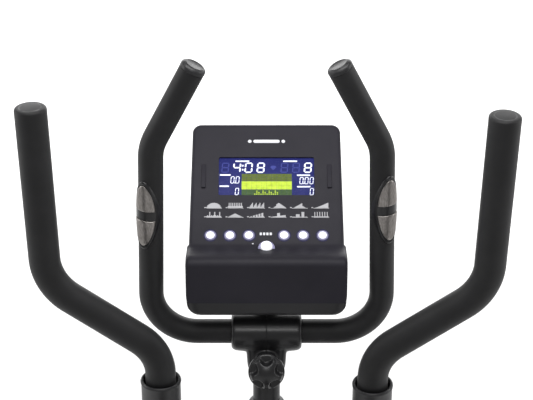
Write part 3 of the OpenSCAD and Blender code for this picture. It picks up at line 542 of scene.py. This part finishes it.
def back_level(v, low, high, corner, shrink):
    """The back shell's outline at one depth. It is wider beside the ledge, like the front."""
    top, foot, knee = panel_half(high) - shrink, LEDGE_HALF - shrink, PANEL_HALF[1] - shrink
    half = [(foot, low), (foot, 1), (knee, 6), (top, high)]
    points = half + [(-x, u) for x, u in reversed(half)]
    radii = [corner, 4, 4, TOP_CORNER, TOP_CORNER, 4, 4, corner]
    return [(p.x, p.y, v) for p in rounded(points, radii, 6)]


def make_console():
    shell = console_shell().make("console_front", console)
    inside = console @ Vector((0, 0.05, -0.05))
    face = shell.data.polygons[0]
    if face.normal.dot(face.center - inside) < 0:
        shell.data.flip_normals()
    thick = shell.modifiers.new("wall", "SOLIDIFY")
    thick.thickness, thick.offset = WALL * MM, -1
    apply_modifiers(shell)
    window = Solid().slab(rectangle(*WINDOW, 2.5, (0, WINDOW_U)), -12, 12).make("cut_window", console)
    keys = Solid()
    for x in KEY_X:
        keys.slab(circle(KEY_R + 0.35, (x, KEY_U)), -12, 12)
    keys = keys.make("cut_keys", console)
    pocket = Solid().slab(circle(DIAL_R + 0.6, (0, DIAL_U)), -14, POCKET_TOP).make("cut_pocket", console)
    hole = Solid().slab(circle(STUB_R + 0.6, (0, DIAL_U)), -10, 30).make("cut_stub", console)
    carve(shell, window, keys, pocket, hole, angle=30)
    piece(shell, "frame", "plastic_grey", MATERIALS["grey_panel"], "console_front")

    ribs = Solid()
    for side in (LEFT, RIGHT):
        outline = rectangle(RIB[0], RIB[1], 1.8, (side * RIB_AT[0], RIB_AT[1]))
        loops = [[(p.x, p.y, -1.0) for p in outline]]
        # A rib is taller at its lower end
        for depth, rise in ((0, 0.0), (0.3, 0.55), (1.0, 1.0)):
            loop = inset(outline, depth) if depth else outline
            loops.append([(p.x, p.y, -0.1 + rise * (0.4 + 2.1 * (136 - p.y) / RIB[1])) for p in loop])
        ribs.loft(loops)
    piece(ribs.make("console_ribs", console), "frame", "plastic_grey", MATERIALS["grey_panel"])

    outer = [back_level(*row) for row in BACK_LEVELS]
    inner = [back_level(*row) for row in BACK_HOLLOW]
    back = Solid().loft(outer, caps=False).loft(inner, caps=False).loft([outer[0], inner[-1]], caps=False)
    back.cap(outer[-1]).cap(inner[0])
    piece(back.make("console_back", console), "frame", "plastic_black", MATERIALS["plastic"], "console_back")


# ---------- display and printed marks ----------

SEGMENTS = {
    0: "abcdef", 1: "bc", 2: "abged", 3: "abgcd", 4: "fgbc", 5: "afgcd", 6: "afgedc", 7: "abc", 8: "abcdefg",
    9: "abcdfg",
}


def digit(solid, value, x, u, width, height, stroke, low, high):
    """A seven-segment figure centred at (x, u), leaning a little to the right."""
    w, h, t = (width - stroke) / 2, (height - stroke) / 2, stroke
    ends = {
        "a": ((-w, h), (w, h)), "g": ((-w, 0), (w, 0)), "d": ((-w, -h), (w, -h)), "f": ((-w, h), (-w, 0)),
        "b": ((w, h), (w, 0)), "e": ((-w, 0), (-w, -h)), "c": ((w, 0), (w, -h)),
    }
    for name in SEGMENTS[value]:
        a, b = Vector(ends[name][0]), Vector(ends[name][1])
        along = (b - a).normalized()
        across = Vector((-along.y, along.x)) * t / 2
        a, b = a + along * t * 0.22, b - along * t * 0.22
        bar = [a, a + along * t / 2 - across, b - along * t / 2 - across, b, b - along * t / 2 + across,
               a + along * t / 2 + across]
        bar = [Vector((x + p.x + 0.08 * p.y, u + p.y)) for p in bar]
        solid.slab(bar, low, high)


FIGURE_U = 131.6


def make_display():
    glass = Solid().slab(rectangle(145, 70, 1.5, (0, WINDOW_U)), -7.6, -2.75, 0.4)
    piece(glass.make("display_panel", console), "frame", "display", MATERIALS["blue"], "lcd_panel")
    low, high = -2.76, -2.68
    lit, dim = Solid(), Solid()
    for value, x in ((4, -42.2), (0, -25.5), (8, -8.2), (8, 59.2)):
        digit(lit, value, x, FIGURE_U, 11.4, 17.6, 2.2, low, high)
    for x, u in ((-44.9, 105.9), (53.1, 104.7)):
        lit.slab(rectangle(1.5, 1.5, 0.4, (x, u), 3), low, high)
    for u in (128.2, 135.0):
        lit.slab(rectangle(2.2, 2.6, 0.4, (-34.0, u), 3), low, high)
    for value, x in ((8, -58.8), (8, 25.6), (8, 42.3)):
        digit(dim, value, x, FIGURE_U, 10.6, 16.8, 1.5, low, high)
    dim.slab(rounded([(9.7, 127.4), (14.2, 132.5), (12, 135), (7.4, 135), (5.2, 132.5)], 0.8), low, high)
    for x, u, figures in ((-48.4, 111, 2), (64.2, 109.8, 3), (-41.9, 91.6, 1), (64.2, 91.3, 1)):
        for k in range(figures):
            digit(lit, 0, x - (figures - 1 - k) * 7.2 + (7.2 if x < -45 else 0), u, 5.4, 11.8, 1.0, low, high)
    for x, u, width in ((-34.6, 142.6, 20), (33.9, 142.6, 20), (-58.8, 119.3, 15.5), (-60.0, 100.4, 13.5),
                        (52.8, 118.8, 19), (52.8, 99.6, 19)):
        lit.slab(rectangle(width, 2.2, 0.8, (x, u), 3), low, high)
    piece(lit.make("display_figures", console), "frame", "display", MATERIALS["digit"])
    piece(dim.make("display_unlit_figures", console), "frame", "display", MATERIALS["ghost"])
    # Lower u, upper u and rows of each coloured band
    bands = {"olive": (108.9, 121.2, 2), "lime": (95.0, 108.6, 2), "moss": (84.6, 94.8, 1)}
    for name, (u0, u1, rows) in bands.items():
        cells, left, pitch, rise = Solid(), -35.4, 7.14, (u1 - u0) / rows
        for row in range(rows):
            for column in range(10):
                centre = (left + pitch * (column + 0.5), u0 + rise * (row + 0.5))
                cells.slab(rectangle(pitch - 0.16, rise - 0.16, 0.3, centre, 2), low, high)
        piece(cells.make("display_cells_" + name, console), "frame", "display", MATERIALS[name])
    dots = Solid()
    for column in range(12):
        for row in range(1 + (column * 5) % 3):
            centre = (-16.5 + 2.9 * column, 87.2 + 2.5 * row)
            dots.slab(rectangle(1.6, 1.7, 0.3, centre, 2), high, high + 0.05)
    piece(dots.make("display_dots", console), "frame", "display", MATERIALS["lime"])


def bars(heights, gap=0.0):
    """A bar chart 21 wide and 9.4 high, as (start, end, height) bars."""
    width = 21 / len(heights)
    return [(k * width + gap / 2, (k + 1) * width - gap / 2, 9.4 * h) for k, h in enumerate(heights)]


def programme_shapes():
    """Twelve bar charts, each a rule of its own."""
    steps = [k / 15 for k in range(16)]
    return [
        bars([0.3 + 0.7 * sin(pi * f) ** 0.6 for f in steps]),
        bars([1.0 if k % 2 else 0.45 for k in range(17)]),
        bars([0.3 + 0.7 * ((k % 4) / 3) for k in range(16)], 0.1),
        bars([max(0.1, 1 - 1.7 * abs(f - 0.55) - 0.2 * (f < 0.4)) for f in steps]),
        bars([f / 0.72 if f < 0.72 else 0.42 * (1 - f) / 0.28 + 0.05 for f in steps]),
        bars([0.08 + 0.92 * f * f ** 0.2 for f in steps]),
        bars([1.0 if k % 5 == 3 else 0.3 + 0.12 * (k % 2) for k in range(15)]),
        bars([0.15 + 0.6 * max(0.0, 1 - 2 * abs(f - 0.5)) for f in steps]),
        bars([0.15 + 0.75 * f if k % 3 else 0.3 * f for k, f in enumerate(steps)]),
        bars([0.15 + 0.3 * f + (0.5 if 0.45 < f < 0.65 else 0) for f in steps]),
        bars([0.6 if 0.25 < f < 0.5 else 1.0 if 0.65 < f < 0.85 else 0.18 for f in steps]),
        bars([1.0 if k % 3 == 1 else 0.25 for k in range(18)], 0.1),
    ]


def make_prints():
    low, high = -0.05, 0.12
    marks = Solid()
    for k, shape in enumerate(programme_shapes()):
        x0, u0 = -84.5 + 30.1 * (k % 6), 61.6 if k < 6 else 46.6
        marks.slab(rectangle(2.6, 1.5, 0.3, (x0 - 1.6, u0 + 1.6), 2), low, high)
        for a, b, height in [(0, 22, 0.9)] + shape:
            corners = ((x0 + a, u0), (x0 + b, u0), (x0 + b, u0 + height), (x0 + a, u0 + height))
            marks.slab([Vector(c) for c in corners], low, high)
    piece(marks.make("programme_marks", console), "frame", "plastic_grey", MATERIALS["ink"])
    white = Solid()
    for k in range(4):
        white.slab(rectangle(3.2, 4.4, 0.9, (-7.9 + 4.6 * k, 20.5), 4), low, high)
    white.slab(rectangle(38, 5.4, 2.6, (0, 175), 6), low, high)
    for side in (LEFT, RIGHT):
        white.slab(circle(2.7, (side * 24.2, 175), 24), low, high)
    white.slab(rounded([(-20.6, 4.6), (-18.6, 3.2), (-17.6, 5.8)], 0.3, 2), low, high + 0.3)
    # These printed marks glow with painted light; they are ink, not lit.
    piece(white.make("panel_marks", console), "frame", "plastic_grey", MATERIALS["white_ink_painted_glow"])


def make_keys():
    r = KEY_R
    rim = [(0, -7), (r - 0.15, -7), (r - 0.15, 0.2), (r - 0.5, 0.8), (r - 1.1, 1.05), (r - 1.7, 0.9),
           (0, 0.9)]
    dome = [(0, 0.7), (r - 2.4, 0.7), (r - 2.6, 1.2), (r - 3.5, 1.6), (r - 5, 1.85), (0, 1.95)]
    for number, x in enumerate(KEY_X, 1):
        name = "button_%d" % number
        cap = Solid().lathe(rim, shift(x, KEY_U), sides=56).make("key_rim_%d" % number, console)
        piece(cap, name, "lit_white", MATERIALS["key_rim"], name)
        light = Solid().lathe(dome, shift(x, KEY_U), sides=56).make("key_light_%d" % number, console)
        piece(light, name, "lit_white", MATERIALS["key"])
    glow = Solid()
    for x in KEY_X:
        ring = [(r + 0.4, -0.4), (r + 0.4, 0.06), (r + 1.0, 0.1), (r + 1.5, 0.06), (r + 1.6, -0.4)]
        glow.lathe(ring, shift(x, KEY_U), wrap=True, sides=56)
    piece(glow.make("key_glow", console), "frame", "plastic_grey", MATERIALS["key_glow"])
    place = console @ shift(y=DIAL_U)
    flange = Solid().lathe([(0, -4), (DIAL_R, -4), (DIAL_R, 0.9), (DIAL_R - 0.5, 1.7), (DIAL_R - 1.4, 2.1),
                            (STUB_R + 0.4, 2.2), (0, 2.2)], sides=72)
    piece(flange.make("dial_flange", place), "dial", "lit_white", MATERIALS["key_rim"], "dial_cap")
    stub = Solid().lathe([(0, 2), (STUB_R, 2), (STUB_R, 7.4), (STUB_R - 0.4, 8.3), (STUB_R - 1.4, 9.0),
                          (STUB_R - 3, 9.4), (0, 9.5)], sides=64)
    piece(stub.make("dial_stub", place), "dial", "lit_white", MATERIALS["key"])


# ---------- fixed handlebar ----------

BAR_HALF, BAR_TOP, TIP = 161, (152.5, 287), (95.5, 397)
BAR_PATH = [(BAR_HALF, 0), BAR_TOP, TIP]
BAR_BENDS = [63, 70]
GRIP_START = 32
FOAM_R = 17
SLEEVE_R = 16
TUBE_R = 12.7
SENSOR_Z = {"left": 192, "right": 200.5}
SENSOR_TURN = 59


def side_path(side):
    return bent([(side * GRIP_START, 0)] + [(side * x, z) for x, z in BAR_PATH], BAR_BENDS, 20)


def wrapped_patch(solid, half_width, heights, base_r, thickness, local):
    """A crowned shell on a round bar, as closed loops stacked along local Z, facing local X."""
    loops = []
    for z in heights:
        w = half_width(z)
        ys = [w * sin(pi / 2 * k / 14) for k in range(-14, 15)]
        top = [(base_r + thickness(y, z), y) for y in ys]
        under = [(base_r, y) for y in reversed(ys[1:-1])]
        loops.append([(sqrt(max(0.01, r * r - y * y)), y, z) for r, y in top + under])
    solid.loft(loops, local=local)


BASE_HALF, PLATE_HALF, GAP_HALF = (17.3, 51.0), (15.5, 45.0), 7.0


def oval_half(half, z):
    return half[0] * sqrt(max(0.0005, 1 - (z / half[1]) ** 2))


def oval_rho(half, y, z):
    return min(1.0, (y / half[0]) ** 2 + (z / half[1]) ** 2)


def base_rise(y, z):
    """A rounded rim round a shallow bed for the plates."""
    rho = oval_rho(BASE_HALF, y, z)
    bed = min(1.0, max(0.0, (rho - 0.84) / 0.05))
    return (1.9 + 0.9 * bed) * (1 - rho ** 14) ** 0.5


def plate_rise(y, z):
    from_gap = min(1.0, (abs(z) - GAP_HALF) / 1.2)
    return 0.3 + 1.3 * (1 - oval_rho(PLATE_HALF, y, z) ** 12) ** 0.5 * sqrt(max(0.0, 1 - (1 - from_gap) ** 2))


def add_sensor(bases, plates, local):
    rows = [-BASE_HALF[1] * cos(pi * k / 72) for k in range(73)]
    wrapped_patch(bases, lambda z: oval_half(BASE_HALF, z), rows, FOAM_R + 0.05, base_rise, local)
    first = asin(GAP_HALF / PLATE_HALF[1])
    rows = [GAP_HALF + d for d in (0, 0.12, 0.35, 0.7)]
    rows += [PLATE_HALF[1] * sin(first + 0.03 + (pi / 2 - first - 0.03) * k / 36) for k in range(37)]
    for end in (rows, [-z for z in reversed(rows)]):
        wrapped_patch(plates, lambda z: oval_half(PLATE_HALF, z), end, FOAM_R + 1.9, plate_rise, local)


def make_handlebar():
    foam, plugs, bases, plates = Solid(), Solid(), Solid(), Solid()
    splay = degrees(atan2(BAR_TOP[0] - BAR_HALF, BAR_TOP[1]))
    lean = degrees(atan2(TIP[0] - BAR_TOP[0], TIP[1] - BAR_TOP[1]))
    for name, side in SIDES.items():
        foam.tube(side_path(side), FOAM_R, 1.2)
        tip = shift(side * TIP[0], 0, TIP[1]) @ turn(lean * side, "Y")
        r = FOAM_R + 0.2
        plugs.lathe([(0, -12), (TUBE_R - 2.5, -12), (TUBE_R - 2.5, 0), (r - 0.4, 0), (r, 0.5), (r, 3.6),
                     (r - 0.5, 5.2), (r - 1.8, 6.6), (r - 3.6, 7.6), (r - 5.2, 8.1), (r - 5.8, 7.8),
                     (0, 7.9)], tip)
        on_grip = shift(BAR_HALF) @ turn(splay, "Y") @ shift(z=SENSOR_Z[name]) @ turn(-SENSOR_TURN, "Z")
        add_sensor(bases, plates, on_side(side) @ on_grip)
    sleeve = [(TUBE_R, -29), (SLEEVE_R - 0.5, -29), (SLEEVE_R, -28.5), (SLEEVE_R, 28.5),
              (SLEEVE_R - 0.5, 29), (TUBE_R, 29)]
    plugs.lathe(sleeve, ALONG_X, wrap=True)
    grips = foam.make("foam_grips_fixed", handlebar, 50)
    piece(grips, "handlebar", "foam", MATERIALS["foam"], "foam_grips")
    ends = plugs.make("bar_plugs", handlebar)
    piece(ends, "handlebar", "plastic_black", MATERIALS["plastic"], "handlebar_plugs")
    rims = bases.make("sensor_bases", handlebar, 60)
    piece(rims, "handlebar", "plastic_black", MATERIALS["gloss_plastic"], "pulse_bases")
    metal = plates.make("sensor_plates", handlebar, 50)
    piece(metal, "handlebar", "steel_bright", MATERIALS["plate"], "pulse_plates")


# ---------- clamp ----------

COVER_R, COVER_HALF = 26, 49
NECK = (55, 42, 10)
NECK_LOW = 51
BOSS_R = 17
KNOB_DROP, KNOB_BACK = 40, 78


def half_shape(x_low, shrink):
    """Half of the cover, from x_low to the right: barrel, neck and the knob's boss."""
    r, half = COVER_R - shrink, COVER_HALF - shrink
    soft = 0.0 if shrink else 5.0
    end = [(r - soft * (1 - c), half - soft * (1 - s)) for s, c in quarter()]
    solid = Solid().lathe([(0, x_low), (r, x_low)] + end + [(0, half)], ALONG_X)
    saddle = [(0, x_low), (r + 0.5, x_low), (r + 0.5, 18), (r - 2.5, half - 5), (0, half - 5)]
    solid.lathe(saddle, shift(z=-3.5) @ ALONG_X)
    w, d, corner = NECK[0] / 2 - shrink, NECK[1] / 2 - shrink, NECK[2] - shrink
    outline = rounded([(x_low, 1 - d), (w, 1 - d), (w, 1 + d), (x_low, 1 + d)], [0, corner, corner, 0])
    foot = -NECK_LOW - (9 if shrink else 0)
    levels = [(foot, 0.94), (-NECK_LOW + 8, 0.98), (-NECK_LOW + 16, 1.0), (-12, 1.06), (2, 1.1)]
    solid.loft([[(x_low + (p.x - x_low) * k, p.y * min(k, 1.0), z) for p in outline] for z, k in levels])
    boss = circle(BOSS_R - shrink, sides=64)
    arc = [Vector((max(p.x, x_low), p.y)) for p in boss]
    solid.slab(arc, -1, 44 - shrink, 0, shift(z=-KNOB_DROP) @ turn(90))
    return solid


def make_clamp():
    for name, side in SIDES.items():
        place = at(clamp) @ on_side(side)
        cover = melt(half_shape(-1.0, 0).make("clamp_cover_" + name, place), 1.0, 14)
        hollow = melt(half_shape(-3, WALL).make("cut_hollow", place), 1.2, 2)
        seam = Solid().slab(rectangle(200, 300, 0), -20, 0.15, 0, ALONG_X).make("cut_seam", place)
        bore = Solid().slab(circle(FOAM_R + 0.6), -60, 60, 0, ALONG_X).make("cut_bore", place)
        stud = Solid().slab(circle(4.5), -60, 90, 0, shift(z=-KNOB_DROP) @ turn(90)).make("cut_stud", place)
        carve(cover, hollow, bore, stud, seam, angle=50)
        piece(cover, "frame", "plastic_black", MATERIALS["gloss_plastic"], "clamp_covers")


DOME_R, DOME_RISE = 23, 10
HOLLOWS, HOLLOW_AT, HOLLOW_R, HOLLOW_DEPTH = 5, 21.5, 10.2, 14.5


def knob_depth(r, angle):
    """Distance behind the knob's front at a polar point: a dome with a rounded edge and finger hollows."""
    depth = DOME_RISE * (r / DOME_R) ** 2 + 3.0 * max(0.0, (r - 19.5) / 3.5) ** 2.2
    for k in range(HOLLOWS):
        a = pi / 2 + 2 * pi * k / HOLLOWS
        away = hypot(r * cos(angle) - HOLLOW_AT * cos(a), r * sin(angle) - HOLLOW_AT * sin(a))
        f = min(1.0, max(0.0, (HOLLOW_R - away) / 4.0))
        depth += max(0.0, HOLLOW_DEPTH - depth) * f * f * (3 - 2 * f)
    return depth


def make_knob():
    # Local Z points back along +Y, and local Y down, so angles are mirrored to put a hollow at the top
    place = at(clamp) @ shift(y=-KNOB_BACK, z=-KNOB_DROP) @ turn(-90)
    rings = [DOME_R * k / 46 for k in range(47)]
    angles = [2 * pi * k / 150 for k in range(150)]
    loops = [[(r * cos(a), -r * sin(a), knob_depth(r, a)) for a in angles] for r in rings]
    skirt = [(23.2, 15.4), (24.2, 15.9), (24.8, 16.6), (25, 17.5), (25, 20), (24.6, 20.8), (23.8, 21.2)]
    neck_and_stud = [(12, 21.2), (12, 32), (4, 32), (4, 102), (0.01, 102)]
    for r, depth in skirt + neck_and_stud:
        loops.append([(r * cos(a), -r * sin(a), depth) for a in angles])
    knob = Solid().loft(loops, caps=False).make("clamp_knob_moulded", place, 40)
    piece(knob, "knob", "plastic_black", MATERIALS["gloss_plastic"], "clamp_knob")


# ---------- moving handles and swing arms ----------

HANDLE_PATH = [(0, 235), (0, 318), (144, 422), (149, 671)]
HANDLE_BENDS = [66, 75]
HANDLE_R = 20.5
COLLAR_TOP, COLLAR_R = 275, 26.5
ARM_R = 19


def make_arms():
    for name in SIDES:
        body = "arm_" + name
        grip = Solid().tube(bent(HANDLE_PATH, HANDLE_BENDS, 20), HANDLE_R, 3.5)
        grip = grip.make("hand_grip_" + name, upper_arm(name), 50)
        piece(grip, body, "foam", MATERIALS["foam"], "handle_grip_" + name)
        top, r = COLLAR_TOP, COLLAR_R
        collar = [(ARM_R + 0.1, top - 95), (ARM_R + 2.2, top - 95), (ARM_R + 3, top - 94),
                  (r - 0.4, top - 67.5), (r, top - 64), (r, top - 6), (r + 0.7, top - 4.4),
                  (r + 0.9, top - 2.6), (r + 0.4, top - 1.0), (r - 0.8, top), (r - 2.2, top - 0.1),
                  (r - 3.3, top - 1.0), (r - 3.7, top - 2.6), (r - 3.7, top - 34),
                  (HANDLE_R + 0.4, top - 44), (ARM_R + 0.1, top - 50)]
        fitting = Solid().lathe(collar, upper_arm(name), wrap=True)
        on_axle = arm(name) @ ALONG_X
        cap = [(10.2, 29), (22, 30), (22, 36), (21.6, 38.2), (20, 40.6), (16.4, 42.4), (11, 43), (0, 43),
               (0, 33.5), (10.2, 33.5)]
        fitting.lathe(cap, on_axle, wrap=True)
        for low, high, r_out in ((-30, -16, 14.9), (16, 30, 14.9), (-33, -30, 20)):
            fitting.lathe([(10.1, low), (r_out, low), (r_out, high), (10.1, high)], on_axle, wrap=True)
        fittings = fitting.make("arm_collar_and_cap_" + name, IDENTITY, 40)
        piece(fittings, body, "plastic_black", MATERIALS["plastic"], "arm_fittings_" + name)


# ---------- mast cover ----------

MAST_FOOT = Vector((0, 0.470, 0.100))
COVER_BASE_Z, COVER_H, DOME_H, SKIRT_R, POST_R = 1.032, 130, 70, 37, 19


def on_mast(z):
    along = (clamp - MAST_FOOT)
    foot = MAST_FOOT + along * (z - MAST_FOOT.z) / along.z
    return at(foot) @ turn(degrees(atan2(-along.y, along.z)))


def make_mast_cover():
    def skin(shrink):
        bottom = [(SKIRT_R - shrink, 0), (SKIRT_R - shrink, COVER_H - DOME_H - 12)]
        return bottom + [(20 + 14 * c - shrink, COVER_H - DOME_H * (1 - s) - shrink) for s, c in quarter(12)]

    outer = [(SKIRT_R - 1, -1)] + skin(0)
    profile = outer + [(POST_R + 0.3, COVER_H), (POST_R + 0.3, COVER_H - 2.5)] + list(reversed(skin(2.5)))
    cover = Solid().lathe(profile, wrap=True, sides=80).make("mast_cover_moulded", on_mast(COVER_BASE_Z), 40)
    piece(cover, "frame", "plastic_black", MATERIALS["plastic"], "mast_cover")


# ---------- carried-over CAD nodes ----------

CARRIED = {
    "coat": ["main_frame", "front_stabilizer", "rear_stabilizer", "lower_mast", "handlebar_post",
             "clamp_band", "handlebar_tube", "crank_arms", "swing_arm_left", "swing_arm_right",
             "handle_tube_left", "handle_tube_right", "pedal_bar_left", "pedal_bar_right"],
    "bright": ["frame_bolts", "pivot_axle", "bearings", "flywheel_axle", "crank_axle", "dial_stem",
               "lower_pin_left", "lower_pin_right"],
    "iron": ["flywheel", "brake_bracket"],
    "plastic": ["drive_pulley", "idler_pulley", "brake_servo", "crank_discs", "pedal_left", "pedal_right"],
    "shroud": ["shroud_left", "shroud_right"],
    "rubber": ["stabilizer_caps", "drive_belt", "mast_cable", "transport_wheel_left",
               "transport_wheel_right"],
    "lens": ["display_lens"],
    "board": ["circuit_board"],
}


def dress_cad_nodes():
    for finish, names in CARRIED.items():
        for name in names:
            node = frame["nodes"][name]
            node.data.materials.clear()
            node.data.materials.append(MATERIALS[finish])


# ---------- floor, light and camera ----------


def make_stage():
    size = 40
    corners = [Vector((x * size, y * size, floor_z)) for x, y in ((-1, -1), (1, -1), (1, 1), (-1, 1))]
    mesh = bpy.data.meshes.new("floor")
    mesh.from_pydata(corners, [], [(0, 1, 2, 3)])
    floor = bpy.data.objects.new("floor", mesh)
    bpy.context.scene.collection.objects.link(floor)
    finish = Finish("pale_floor", 0.8)
    finish.colour(finish.noise(0.8), (0.90, 0.90, 0.90), (0.94, 0.94, 0.94))
    mesh.materials.append(finish.relief((finish.noise(300), 0.02, 0.05)))


def add_light(name, place, aim, size, power):
    light = bpy.data.lights.new(name, "AREA")
    light.shape, light.size, light.size_y, light.energy = "RECTANGLE", size[0], size[1], power
    obj = bpy.data.objects.new(name, light)
    obj.location = place
    obj.rotation_mode = "QUATERNION"
    obj.rotation_quaternion = (Vector(aim) - Vector(place)).to_track_quat("-Z", "Y")
    bpy.context.scene.collection.objects.link(obj)


def make_lights():
    world = bpy.data.worlds.new("studio")
    world.use_nodes = True
    world.node_tree.nodes["Background"].inputs["Color"].default_value = (1, 1, 1, 1)
    world.node_tree.nodes["Background"].inputs["Strength"].default_value = 0.32
    bpy.context.scene.world = world
    bpy.context.scene.view_settings.view_transform = "Standard"
    aim = clamp
    add_light("top", (0, -0.25, 2.75), aim, (1.5, 0.8), 22)
    add_light("left", (-2.2, 0.3, 1.9), aim, (0.5, 1.8), 14)
    add_light("right", (2.2, 0.3, 1.9), aim, (0.5, 1.8), 14)
    add_light("rear", (0, 2.2, 2.7), aim, (2.4, 0.7), 12)
    # A strip in front of the machine draws a line along the round parts
    add_light("front", (0, -1.7, 2.25), aim, (1.0, 0.2), 7.5)
    # A wide bank over the floor behind the machine keeps the background bright
    add_light("background", (0, 13, 4.5), (0, 13, 0), (26, 18), 2600)


LOOK_DOWN = 12


def make_camera():
    sine, cosine = sin(radians(LOOK_DOWN)), cos(radians(LOOK_DOWN))
    target = Vector((0, 0.390, 1.265)) + Vector((0, sine, cosine)) * 0.181
    back = Vector((0, -cosine, sine))
    data = bpy.data.cameras.new("camera")
    data.lens, data.sensor_width = 106.1, 36
    camera = bpy.data.objects.new("camera", data)
    camera.location = target + back * 2.2
    camera.rotation_mode = "QUATERNION"
    camera.rotation_quaternion = (-back).to_track_quat("-Z", "Y")
    data.clip_end = 200
    bpy.context.scene.collection.objects.link(camera)
    bpy.context.scene.camera = camera


make_camera()
make_stage()
make_lights()
dress_cad_nodes()
make_console()
make_display()
make_prints()
make_keys()
make_handlebar()
make_clamp()
make_knob()
make_arms()
make_mast_cover()
